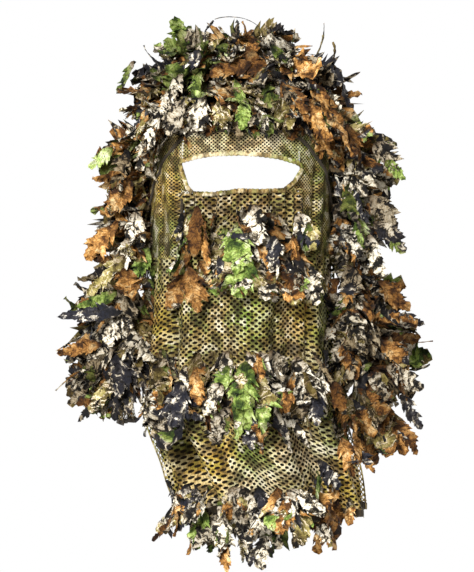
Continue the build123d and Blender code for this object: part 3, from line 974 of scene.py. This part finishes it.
for side, side_name in SIDES:
    reach = sqrt(CROWN_REACH ** 2 - SEAM_HALF ** 2)
    ways = np.linspace(-reach, reach, 120)
    line = hood_crown(np.full(120, side * SEAM_HALF * 1.05), ways)
    line[:, 0] = side * SEAM_HALF
    outs = outwards(line, HALF_WIDTH, HALF_DEPTH, DOME_TOP)
    band(
        f"crown_seam_binding_{side_name}", line - outs * 1.2 * MM, outs, 8 * MM, 1 * MM, TAPE, "hood",
        f"crown_seam_tape_{side_name}",
    )
us = np.linspace(-VEIL_EDGE, VEIL_EDGE, 260)
line = veil_surface(us, np.full(len(us), VEIL_LONG - 3 * MM))
outs = outwards(line, 1, 1)
band(
    "veil_hem_binding", line + outs * 0.3 * MM, outs, 7 * MM, 1.2 * MM, TAPE, "veil", "veil_hem_tape",
)
for side, side_name in SIDES:
    vs = np.linspace(SHOULDER, VEIL_LONG, 80)
    line = veil_surface(np.full(len(vs), side * (VEIL_EDGE - 1 * MM)), vs)
    outs = [(side, 0, 0)] * len(vs)
    band(f"veil_edge_binding_{side_name}", line, outs, 5 * MM, 1.2 * MM, MESH_CLOTH, "veil")


# ---- the rear strap and its slider
def rear_strap():
    """The webbing across the rear opening, curving out from both temples to the slider."""
    low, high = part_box("rear_strap")
    slider_low, slider_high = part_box("strap_slider")
    level = (low[2] + high[2]) / 2
    back = (slider_low[1] + slider_high[1]) / 2
    flat = 44 * MM
    start = low[1] + 2 * MM
    reach = high[0] - 1 * MM
    t = np.linspace(0, 1, 70)[:, None]
    corners = np.array(
        [(reach, start), (reach * 0.90, start + 24 * MM), (flat + 14 * MM, back), (flat, back)]
    )
    shares = [weight * (1 - t) ** (3 - i) * t ** i for i, weight in enumerate((1, 3, 3, 1))]
    bend = sum(share * corner for share, corner in zip(shares, corners))
    middle = np.column_stack([np.linspace(flat, -flat, 40)[1:-1], np.full(38, back)])
    path = np.concatenate([bend, middle, (bend * (-1, 1))[::-1]])
    line = np.column_stack([path, np.full(len(path), level)])
    way = np.gradient(path, axis=0)
    outs = np.column_stack([-way[:, 1], way[:, 0], np.zeros(len(path))])
    outs = outs * np.sign(outs[:, 1:2] + 1e-9)
    width = high[2] - low[2]
    band("rear_strap_webbing", line, outs, width, 1.3 * MM, WEBBING, "hood", "rear_strap")


def flap_frame(name):
    """The flap's hinge, and the directions down it, across it and out of it, from its CAD panel."""
    low, high = (np.array(corner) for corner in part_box(f"{name}_panel"))
    out = {"flap_left": (1, 0, 0), "flap_right": (-1, 0, 0), "flap_back": (0, 1, 0)}[name]
    out = np.array(out, float)
    across = np.cross(out, (0, 0, 1.0))
    middle = (low + high) / 2
    depth = abs(out @ (high - low))
    height = high[2] - low[2]
    width = abs(across @ (high - low))
    hinge = middle + out * (-depth / 2) + np.array([0, 0, height / 2])
    lean = atan2(depth - 2 * MM, height)
    down = unit(out * sin(lean) + np.array([0, 0, -cos(lean)]))
    outward = unit(np.cross(np.cross(down, out), down))
    return hinge, down, across, outward, width, height / cos(lean)


def flap_surface(name):
    """The cloth of a flap: softly rippled, its ripples growing towards the hem."""
    hinge, down, across, outward, width, long = flap_frame(name)
    seed = {"flap_left": 0.4, "flap_right": 2.2, "flap_back": 3.9}[name]

    def surface(u, v):
        grow = np.clip(v / long, 0, 1)
        wave = np.sin(u / (21 * MM) + seed + 1.2 * grow) + 0.4 * np.sin(u / (9 * MM) + 3 * seed)
        out = 6 * MM * grow * wave + 12 * MM * np.sin(pi * grow) - 16 * MM * grow ** 2
        out = out + wrinkle(u, v, 0.015, 1 * MM)
        return hinge + np.outer(v, down) + np.outer(u, across) + np.outer(out, outward)

    return surface, width, long, outward


rear_strap()
FLAPS = {name: flap_surface(name) for name in ("flap_left", "flap_right", "flap_back")}
for name, (surface, width, long, outward) in FLAPS.items():
    flap, flap_flat = net_piece(
        f"{name}_mesh", surface, (-width / 2, 0), (width / 2, long),
        lambda u, v, w=width, l=long: (np.abs(u) < w / 2) & (v > 0.5 * MM) & (v < l), name, f"{name}_panel",
    )
    declare_sheet(flap, flap_flat)
    half = width / 2
    edge_u = np.concatenate([np.full(40, -half), np.linspace(-half, half, 60), np.full(40, half)])
    edge_v = np.concatenate([np.linspace(0, long, 40), np.full(60, long), np.linspace(long, 0, 40)])
    line, outs = surface(edge_u, edge_v), [outward] * len(edge_u)
    band(f"{name}_edge_binding", line, outs, 5 * MM, 1.1 * MM, TAPE, name)

BUCKLE_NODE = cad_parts["strap_slider"]
BUCKLE_NODE.data.materials.clear()
BUCKLE_NODE.data.materials.append(BUCKLE)


# ---- rows of leaves
DOWN = np.array([0, 0, -1.0])
FRONT = np.array([0, -1.0, 0])
MIX = {"bark": 0.33, "navy": 0.16, "orange": 0.23, "green": 0.08, "twig": 0.20}
# Where one motif of the print is strong on the front: x and z, in millimetres.
STRONG = {
    "navy": [(-115, 105), (-10, 155), (80, 100), (115, -30), (140, -100), (-150, -145), (-110, -210),
             (170, -148), (52, -110), (8, -258), (-66, -232)],
    "green": [(-60, 130), (-45, 80), (0, 65), (157, -2), (-144, 12), (-100, -108), (-3, -100), (65, -70),
              (0, -225), (-40, -353)],
    "bark": [(40, 130), (-40, 55), (150, 10), (120, -20), (135, -70), (-165, -180), (-125, -160),
             (120, -160), (14, -58), (52, -200), (-16, -350), (22, -363)],
    "orange": [(-10, 93), (-100, 40), (60, 60), (85, 50), (115, 25), (-125, -28), (-140, -70), (158, -130),
               (155, -185), (-48, -122), (52, -83), (113, -268), (88, -348), (-14, -387)],
    "twig": [(-135, -105), (155, -250), (-42, -65)],
}
ANCHORS = [(x * MM, z * MM, motif) for motif, places in STRONG.items() for x, z in places]
ANCHOR_REACH, ANCHOR_SHARE = 32 * MM, 0.62
FRONT_HALF = 0.03  # leaves farther back than this y follow the mix alone


def motif_for(point):
    """The leaf's motif: near an anchor on the front usually the anchor's, elsewhere from the mix."""
    if point[1] < FRONT_HALF and rng.random() < ANCHOR_SHARE:
        gaps = [(point[0] - x) ** 2 + (point[2] - z) ** 2 for x, z, _ in ANCHORS]
        if min(gaps) < ANCHOR_REACH ** 2:
            return ANCHORS[int(np.argmin(gaps))][2]
    return str(rng.choice(list(MIX), p=list(MIX.values())))


def scatter_leaf(batch, root, down, out, size=1.0, tilt=0.5, stray=0.45):
    """One leaf of a row, with everything about it a little different from its neighbours."""
    way = rng.normal(0, stray)
    side = np.cross(out, down)
    turned = unit(down * cos(way) + side * sin(way))
    facing = unit(out + side * rng.normal(0, 0.35))
    facing = unit(facing - turned * (facing @ turned))
    length = rng.uniform(36, 58) * MM * size
    narrow = rng.random() < 0.20
    width = length * (rng.uniform(0.06, 0.12) if narrow else rng.uniform(0.24, 0.46))
    start = root + side * rng.normal(0, 3 * MM) + out * rng.uniform(0, 3 * MM)
    batch.add(
        start, turned, facing, length, width, motif_for(root + out * length * 0.5 + down * 0.02),
        pure=rng.choice([0.30, 0.5, 0.8]), lobes=int(rng.integers(2, 5)), depth=rng.uniform(0.40, 0.80),
        tilt=tilt + rng.normal(0, 0.25), curl=rng.uniform(-1.5, 0.7),
        cup=rng.choice([-1, 1]) * rng.uniform(0.1, 1.0), twist=rng.normal(0, 0.8), narrow=float(narrow),
    )


# Painted shade and light: the leaves of the wings and the crown are painted darker than the veil's, for the
# shade that they hang in.
PAINTED_LIGHT = {
    "flap_left": 0.32, "flap_right": 0.4, "flap_back": 0.6, "side": 0.72, "crown": 0.58, "nape": 0.7,
    "veil": 1.3,
}
LEAVES_PER_PIECE = 20


def fresh_of(node):
    """The painted light and shade on a row's leaves."""
    return next(value for start, value in PAINTED_LIGHT.items() if node.startswith(start))


def body_of(node):
    """The rigid body that a row of leaves is sewn to."""
    if node.startswith("flap"):
        return node.split("_leaves")[0]
    return "veil" if node.startswith("veil") else "hood"


def build_row(node, stations, name=None, **style):
    """Leaves at the stations, (root, down, out) each, cut into small pieces."""
    for start in range(0, len(stations), LEAVES_PER_PIECE):
        batch = LeafBatch(fresh_of(node))
        for root, down, out in stations[start:start + LEAVES_PER_PIECE]:
            scatter_leaf(batch, root, down, out, **style)
        number = start // LEAVES_PER_PIECE + 1
        batch.build(f"{name or node}_{number:02d}", body_of(node), node)


def hood_station(angle, z):
    """A leaf's root on the hood, with the directions down it and out of it."""
    point = hood_point(angle, z)
    a, b = hood_axes(z)
    a2, b2 = hood_axes(z - 0.5 * MM)
    lower = np.array([a2 * cos(radians(angle)), b2 * sin(radians(angle)), z - 0.5 * MM])
    down = unit(lower - point)
    around = np.array([-a * sin(radians(angle)), b * cos(radians(angle)), 0])
    out = unit(np.cross(around, -down))
    return point, down, out


def ring_stations(z, count, start):
    """Stations round the hood at one height."""
    spread = [start + 360 * i / count + rng.normal(0, 1.5) for i in range(count)]
    return [hood_station(angle, z + rng.normal(0, 2 * MM)) for angle in spread]


def blocks_view(root):
    """Whether a leaf there would hang over the eye slot, the bare brow or the rear opening."""
    x, y, z = root
    return abs(x) < 80 * MM and z < (62 if y < 0 else 72) * MM


def round_the_hood(station):
    """Sorts stations by their direction from the middle of the hood."""
    return atan2(station[0][1], station[0][0])


# By node: how far its leaves lean out, and the height and number of leaves of each ring.
CROWN_ROWS = {
    "crown_tuft": (0.15, [(0.1306, 6), (0.1300, 9), (0.128, 12), (0.124, 15)]),
    "crown_leaves_upper": (0.40, [(0.120, 18), (0.114, 21), (0.107, 24), (0.100, 27)]),
    "crown_leaves_middle": (0.60, [(0.092, 30), (0.083, 33), (0.074, 35)]),
    "crown_leaves_lower": (0.60, [(0.064, 38), (0.054, 40), (0.044, 42)]),
}
for node, (tilt, rings) in CROWN_ROWS.items():
    stations = [s for z, count in rings for s in ring_stations(z, count, rng.uniform(0, 30))]
    stations = sorted((s for s in stations if not blocks_view(s[0])), key=round_the_hood)
    build_row(node, stations, tilt=tilt, stray=0.65)
# A fringe of small leaves over the brow.
stations = [hood_station(270 + 44 * (i - 11.5) / 11.5, z) for z in (0.057, 0.066) for i in range(24)]
build_row("crown_leaves_lower", stations, "crown_fringe", size=0.66, tilt=0.22, stray=0.5)

# Leaves that frame the face: x and z of their roots, on the wearer's left and right.
FACE_FRAME = {
    "left": [(46, 56), (56, 52), (66, 47), (75, 40), (83, 30), (90, 18), (95, 4), (98, -10), (100, -26),
             (100, -42), (60, 63), (70, 58), (78, 52), (86, 44), (92, 34), (82, 60), (88, 54), (44, 66),
             (54, 68), (64, 68), (50, 74), (62, 75)],
    "right": [(44, 54), (56, 50), (66, 45), (74, 38), (82, 28), (88, 16), (93, 2), (96, -14), (98, -30),
              (99, -46), (60, 61), (70, 56), (78, 50), (86, 42), (92, 32), (82, 60), (88, 54), (48, 67),
              (60, 68)],
}
for side, side_name in SIDES:
    stations = []
    for x, z in FACE_FRAME[side_name]:
        for inward in (0, 7):
            a, _ = hood_axes(z * MM)
            angle = -degrees(acos(min((x - inward) * MM / a, 1)))
            point, down, out = hood_station(angle, z * MM)
            point, down, out = (np.array([side * v[0], v[1], v[2]]) for v in (point, down, out))
            stations.append((point, unit(down + np.array([0.35 * side, 0, 0])), out))
    node = f"side_leaves_{side_name}_upper"
    build_row(node, stations, f"face_frame_{side_name}", size=0.66, tilt=0.35)

SIDE_ROWS = {"upper": (0.034, 0.020, 0.006, -0.008), "lower": (-0.022, -0.036, -0.052, -0.068)}
for side_name, middle, turn in (("left", 0, 1), ("right", 180, -1)):
    for level, heights in SIDE_ROWS.items():
        stations = []
        for k, z in enumerate(heights):
            for i in range(11):
                angle = -17 + 60 * (i + 0.5 * (k % 2)) / 11 + rng.normal(0, 1.5)
                stations.append(hood_station(middle + turn * angle, z))
        stations.sort(key=lambda s: s[0][1])
        build_row(f"side_leaves_{side_name}_{level}", stations, size=1.15, tilt=1.15)


def staggered(start, spread, count, heights):
    """Stations round part of the hood, each row half a step along from the one above it."""
    return [
        hood_station(start + spread * (i + 0.5 * (k % 2)) / count, z)
        for k, z in enumerate(heights) for i in range(count)
    ]


build_row("nape_leaves", staggered(50, 80, 9, (-0.042, -0.054, -0.066, -0.078)), tilt=0.5)

FLAP_ROWS = {"upper": (8, 22, 36, 50), "middle": (62, 76, 90, 104), "lower": (114, 127, 140, 152)}
FLAP_STYLE = {"upper": (1.2, 1.15), "middle": (1.2, 1.1), "lower": (0.95, 0.6)}  # size and tilt
for name, (surface, width, _, outward) in FLAPS.items():
    across_count = int(width / (14 * MM))
    for level, runs in FLAP_ROWS.items():
        stations = []
        for k, run in enumerate(runs):
            for i in range(across_count):
                u = width * ((i + 0.25 + 0.5 * (k % 2)) / across_count - 0.5)
                stations.append((surface(np.array([u]), np.array([run * MM]))[0], DOWN, outward))
        stations.sort(key=lambda s: s[0][1] if name != "flap_back" else s[0][0])
        size, tilt = FLAP_STYLE[level]
        short = name == "flap_right" and level == "lower"
        if short:
            stations = [(root + np.array([0, 0, 14 * MM]), *rest) for root, *rest in stations]
            size, tilt = 0.62, 1.1
        build_row(f"{name}_leaves_{level}", stations, size=size, tilt=tilt)
        if name == "flap_back":
            continue
        # Along the front edge more leaves face forward and hide the gap to the veil.
        side = outward[0] / abs(outward[0])
        ends = [(u, run * MM) for run in runs for u in (-width / 2, width / 2)]
        edge = sorted((surface(np.array([u]), np.array([v]))[0] for u, v in ends), key=lambda point: point[1])
        edge = edge[:len(runs)]
        rise = 26 * MM if short else 6 * MM
        stations = [
            (point + np.array([side * shift, -6 * MM, rise]), unit(np.array([-0.25 * side, 0, -1])), FRONT)
            for point in edge for shift in (-20 * MM, -8 * MM, 8 * MM)
        ]
        size = 0.6 if short else 0.95
        build_row(f"{name}_leaves_{level}", stations, f"{name}_edge_leaves_{level}", size=size, tilt=0.3)

VEIL_ROWS = {
    "cheek": ((-0.044, -0.058, -0.073, -0.090), 0.060, 8),
    "chin": ((-0.176, -0.190, -0.206, -0.222), 0.098, 12),
    "hem": ((-0.306, -0.319, -0.331), 0.092, 12),
}
HEM_PARTS = (-0.072, -0.045, 0.045, 0.08, 0.11, 0.2)  # the hem in x, and the size of its leaves there
HEM_SIZES = (0.8, 1.05, 0.85, 0.6, 0.4)
for level, (heights, reach, count) in VEIL_ROWS.items():
    stations = []
    for k, z in enumerate(heights):
        for i in range(count):
            x = reach * (2 * (i + 0.25 + 0.5 * (k % 2)) / count - 1) + rng.normal(0, 2 * MM)
            x += float(np.interp(SLOT_LOW - z, VEIL_LEVELS, VEIL_SWING)) * 0.6
            point, out = veil_at(x, z, 1 * MM)
            stations.append((point, DOWN, out))
    stations.sort(key=lambda s: s[0][0])
    if level == "hem":
        for i, (low, high) in enumerate(pairwise(HEM_PARTS)):
            part = [s for s in stations if low <= s[0][0] < high]
            build_row("veil_leaves_hem", part, f"veil_leaves_hem_part_{i + 1}", size=HEM_SIZES[i], tilt=0.28)
    else:
        build_row(f"veil_leaves_{level}", stations, tilt=0.20)
# A string of leaves that rises from the hem to the veil's left edge.
stations = []
for t in np.linspace(0, 1, 12):
    x, z = 44 + 82 * t + 5 * sin(9 * t), -318 + 64 * t ** 1.2
    point, out = veil_at(x * MM, z * MM, 2 * MM)
    stations.append((point, unit(np.array([0.5, 0, -1])), out))
build_row("veil_leaves_hem", stations, "veil_leaves_rise", size=0.75, tilt=0.3)

# ---- single large leaves and stems on top of the rows
# By node: x and z of the leaf's middle, its motif, length, half width, and its lean from straight down
# towards +X in degrees; all in millimetres.
HEROES = {
    "veil_leaves_cheek": [
        (-3, -78, "green", 50, 19, 5), (2, -104, "green", 44, 20, -15), (-44, -62, "orange", 50, 10, -4),
        (-34, -74, "orange", 44, 9, 8), (-46, -118, "orange", 46, 17, 12), (14, -56, "bark", 40, 16, 10),
        (51, -80, "orange", 32, 10, 5), (64, -68, "green", 28, 8, 0), (46, -102, "bark", 48, 19, -10),
        (66, -112, "bark", 44, 15, 15), (30, -84, "navy", 36, 12, -10), (-20, -100, "navy", 30, 8, 10),
    ],
    "veil_leaves_chin": [
        (2, -208, "green", 46, 19, -5), (0, -236, "green", 50, 20, -30), (8, -257, "navy", 26, 9, 15),
        (34, -192, "bark", 44, 16, 60), (56, -205, "bark", 48, 17, 10), (46, -216, "orange", 40, 9, -15),
        (-62, -226, "navy", 46, 18, -8), (-42, -212, "orange", 32, 10, 12), (112, -262, "orange", 48, 15, -5),
        (92, -222, "orange", 34, 10, 20), (-28, -222, "bark", 36, 12, -30), (72, -232, "navy", 34, 10, 0),
    ],
    "veil_leaves_hem": [
        (-41, -348, "green", 42, 14, -10), (-16, -350, "bark", 46, 17, 5), (-14, -372, "orange", 30, 9, 0),
        (22, -360, "bark", 50, 17, -8), (4, -362, "navy", 40, 12, 12), (86, -344, "orange", 44, 17, 10),
        (60, -344, "twig", 34, 12, -5), (-74, -352, "orange", 46, 7, -60), (-66, -344, "orange", 26, 9, -30),
        (62, -318, "bark", 44, 12, 60), (84, -296, "navy", 40, 12, 50), (104, -280, "orange", 42, 12, 20),
        (74, -306, "green", 34, 9, 55), (121, -272, "orange", 44, 11, 15),
    ],
    "crown_leaves_upper": [
        (-10, 93, "orange", 42, 12, -70), (-40, 112, "twig", 60, 6, -65), (16, 98, "orange", 46, 14, 30),
        (40, 108, "green", 34, 9, 40), (-50, 100, "navy", 40, 12, -50),
    ],
    "crown_leaves_middle": [
        (-42, 80, "green", 32, 8, -5), (-2, 70, "green", 32, 8, 15), (10, 70, "twig", 46, 5, 75),
        (50, 66, "orange", 40, 13, 35), (76, 66, "orange", 46, 14, 25), (-66, 72, "bark", 44, 15, -20),
        (100, 82, "navy", 46, 12, 50),
    ],
    "crown_leaves_lower": [
        (-40, 52, "bark", 38, 16, -5), (-62, 48, "bark", 40, 15, -20), (72, 44, "orange", 48, 15, 40),
        (-18, 50, "twig", 32, 13, 8), (2, 50, "green", 32, 10, -8), (20, 50, "bark", 34, 13, 15),
        (40, 54, "twig", 40, 15, 30), (52, 62, "bark", 40, 16, 40), (-84, 34, "bark", 38, 13, -30),
        (96, 34, "orange", 52, 18, 35), (112, 22, "orange", 48, 16, 50), (-96, 42, "orange", 34, 9, -10),
        (-112, 92, "green", 36, 11, -60),
    ],
    "side_leaves_left_upper": [
        (116, -8, "bark", 40, 17, 10), (142, 12, "bark", 38, 15, 40), (152, 0, "green", 28, 9, 50),
        (104, -12, "bark", 36, 12, -20),
    ],
    "side_leaves_left_lower": [
        (108, -30, "green", 40, 14, 0), (140, -42, "bark", 46, 15, 50), (146, -66, "navy", 46, 13, 50),
        (118, -62, "green", 36, 10, 10), (132, -84, "bark", 44, 14, 20),
    ],
    "side_leaves_right_upper": [
        (-138, 12, "green", 32, 10, -55), (-118, 0, "bark", 42, 16, -20), (-96, 16, "bark", 36, 12, -10),
    ],
    "side_leaves_right_lower": [
        (-120, -28, "orange", 44, 15, -35), (-136, -70, "orange", 50, 17, -40),
        (-104, -60, "bark", 40, 14, 0), (-98, -92, "green", 36, 12, -30), (-116, -86, "bark", 40, 13, -15),
    ],
    "flap_right_leaves_upper": [
        (-132, -104, "twig", 54, 13, -45), (-148, -142, "navy", 70, 13, -88),
        (-124, -156, "bark", 44, 16, -20), (-140, -128, "green", 46, 10, -75),
    ],
    "flap_right_leaves_middle": [
        (-158, -176, "orange", 48, 10, -80), (-112, -192, "navy", 52, 15, 10),
        (-140, -186, "bark", 44, 14, -60), (-113, -168, "bark", 42, 14, -10),
    ],
    "flap_right_leaves_lower": [
        (-108, -218, "navy", 46, 14, 0), (-136, -222, "twig", 40, 11, -35), (-150, -236, "navy", 34, 6, -50),
    ],
    "flap_left_leaves_upper": [
        (150, -124, "orange", 44, 15, 50), (160, -146, "navy", 52, 11, 80), (118, -150, "twig", 46, 14, 10),
    ],
    "flap_left_leaves_middle": [
        (150, -182, "orange", 42, 14, 45), (118, -196, "navy", 48, 14, 0), (160, -204, "bark", 44, 12, 60),
        (108, -184, "orange", 46, 15, 8), (112, -162, "bark", 44, 14, 5),
    ],
    "flap_left_leaves_lower": [
        (150, -256, "orange", 54, 14, 22), (134, -246, "twig", 46, 12, 5), (166, -238, "navy", 40, 10, 30),
        (162, -262, "orange", 44, 11, 35),
    ],
}
LARGE_PAINTED_LIGHT = 1.6  # painted light: how much brighter the large leaves are painted than their row
STRIP_HALF = 7  # a large leaf is a plain strip below this half width, in millimetres


def hero_place(node, x, z):
    """Where a large leaf's middle lies, just in front of its row, and which way it faces."""
    if node.startswith("veil"):
        return veil_at(x, z, 17 * MM)
    if node.startswith("crown"):
        a, b = hood_axes(z)
        share = min(abs(x) / (a + 34 * MM), 0.96)
        height = (DOME_TOP - z) / DOME_TOP
        front = sqrt(1 - share ** 2)
        out = unit(np.array([share * np.sign(x), -front, 0.5 - 0.4 * height]))
        return np.array([x, -(b + 22 * MM) * front, z]), out
    depth = 46 if node.startswith("flap") else 44
    return np.array([x, -depth * MM, z]), unit(np.array([0.4 * np.sign(x), -1, 0.1]))


for node, leaves in HEROES.items():
    batch = LeafBatch(LARGE_PAINTED_LIGHT * fresh_of(node))
    for x, z, motif, length, half, lean in leaves:
        middle, out = hero_place(node, x * MM, z * MM)
        way = np.array([sin(radians(lean)), 0, -cos(radians(lean))])
        way = unit(way - out * (way @ out))
        batch.add(
            middle - way * length * MM / 2, way, out, length * MM, half * MM, motif, pure=0.93, lobes=3,
            depth=rng.uniform(0.45, 0.7), tilt=0.12, curl=rng.uniform(-0.5, 0.1), cup=rng.uniform(-0.3, 0.3),
            twist=rng.normal(0, 0.25), narrow=float(half < STRIP_HALF),
        )
    batch.build(f"{node}_large", body_of(node), node)

# Stems and curled leaves that stand up from the crown: x, y, z, lean, length, half width, curl, motif.
STEMS = [
    (24, -30, 124, -23, 66, 1.8, 1.9, "navy"), (-30, -34, 114, -28, 38, 6, 1.6, "navy"),
    (-48, -30, 108, -34, 34, 7, 2.2, "green"), (2, -36, 118, 12, 30, 8, 0.9, "orange"),
    (44, -34, 108, 20, 34, 3, 0.6, "green"), (62, -30, 100, 40, 40, 2.5, 0.8, "twig"),
    (34, -30, 112, 10, 30, 7, 1.5, "navy"), (-70, -20, 96, -50, 40, 5, 0.7, "navy"),
    (78, -26, 96, 55, 38, 6, 1.6, "twig"), (72, -28, 108, 18, 40, 3, 0.5, "twig"),
    (-12, 20, 118, -10, 32, 8, 0.8, "bark"), (22, 30, 116, 24, 32, 8, 1.0, "navy"),
    (-34, 36, 112, -30, 30, 7, 0.9, "green"),
]
batch = LeafBatch()
for x, y, z, lean, length, half, curl, motif in STEMS:
    up = np.array([sin(radians(lean)), 0, cos(radians(lean))])
    over = np.array([-cos(radians(lean)), 0, sin(radians(lean))]) * (1 if lean > -25 else -1)
    root = np.array([x, y, z]) * MM
    batch.add(
        root, up, over, length * MM, half * MM, motif, pure=0.85, lobes=4, depth=0.55, tilt=-0.2,
        curl=curl, cup=0.3, twist=0.4, narrow=float(half < 4),
    )
batch.build("crown_tuft_stems", "hood", "crown_tuft")

# Smaller leaves between the rows round the sides and the back of the crown, where the mesh showed through.
stations = staggered(-35, 250, 25, (0.068, 0.080, 0.092, 0.104))
stations = sorted((s for s in stations if not blocks_view(s[0])), key=round_the_hood)
build_row("crown_leaves_middle", stations, "crown_filling", size=0.85, tilt=0.35, stray=0.9)


# ---- studio
def plain_material(name, colour, strength=0.0):
    """A plain matt colour, which may glow a little."""
    material = bpy.data.materials.new(name)
    material.use_nodes = True
    shader = material.node_tree.nodes["Principled BSDF"]
    shader.inputs["Base Color"].default_value = (*colour, 1)
    shader.inputs["Roughness"].default_value = 0.9
    shader.inputs["Emission Color"].default_value = (1, 1, 1, 1)
    shader.inputs["Emission Strength"].default_value = strength
    return material


# By name: the lamp's place, its size, and its power in watts.
LAMPS = {
    "key": ((-0.75, -2.3, 0.8), 0.6, 112),
    "side": ((1.9, -1.3, 0.6), 1.2, 7),
    "back_left": ((1.5, 2.2, 0.7), 1.4, 46),
    "back_right": ((-1.5, 2.2, 0.7), 1.4, 38),
}


def studio():
    """A plain pale floor, soft even light, and four soft lamps."""
    bpy.ops.mesh.primitive_circle_add(vertices=96, radius=5, fill_type="NGON", location=(0, 0, -1.5))
    floor = bpy.context.object
    floor.name = "floor"
    floor.data.materials.append(plain_material("pale_floor", (0.9, 0.9, 0.9), 0.35))
    world = bpy.data.worlds.new("studio")
    bpy.context.scene.world = world
    world.use_nodes = True
    tree = world.node_tree
    backdrop = tree.nodes["Background"]
    backdrop.inputs["Color"].default_value = (1, 1, 1, 1)
    backdrop.inputs["Strength"].default_value = 1.0
    fill = tree.nodes.new("ShaderNodeBackground")
    fill.inputs["Color"].default_value = (1.0, 0.93, 0.80, 1)
    fill.inputs["Strength"].default_value = 0.22
    seen = tree.nodes.new("ShaderNodeLightPath")
    choose = tree.nodes.new("ShaderNodeMixShader")
    tree.links.new(seen.outputs["Is Camera Ray"], choose.inputs[0])
    tree.links.new(fill.outputs[0], choose.inputs[1])
    tree.links.new(backdrop.outputs[0], choose.inputs[2])
    tree.links.new(choose.outputs[0], tree.nodes["World Output"].inputs["Surface"])
    for name, (place, size, power) in LAMPS.items():
        data = bpy.data.lights.new(name, "AREA")
        data.size, data.energy = size, power
        lamp = bpy.data.objects.new(name, data)
        lamp.location = place
        lamp.rotation_euler = (Vector((0, 0, -0.1)) - lamp.location).to_track_quat("-Z", "Y").to_euler()
        bpy.context.scene.collection.objects.link(lamp)
    bpy.context.scene.view_settings.view_transform = "Standard"
    bpy.context.scene.view_settings.look = "None"


def camera():
    """A camera straight in front of the mask."""
    data = bpy.data.cameras.new("camera")
    distance, view_height, sensor = 2.6, 0.572, 36
    data.sensor_width = sensor
    data.lens = sensor * distance / view_height
    seen_from = bpy.data.objects.new("camera", data)
    seen_from.location = (-0.004, -distance, -0.114)
    seen_from.rotation_euler = (radians(90), 0, 0)
    bpy.context.scene.collection.objects.link(seen_from)
    bpy.context.scene.camera = seen_from


studio()
camera()
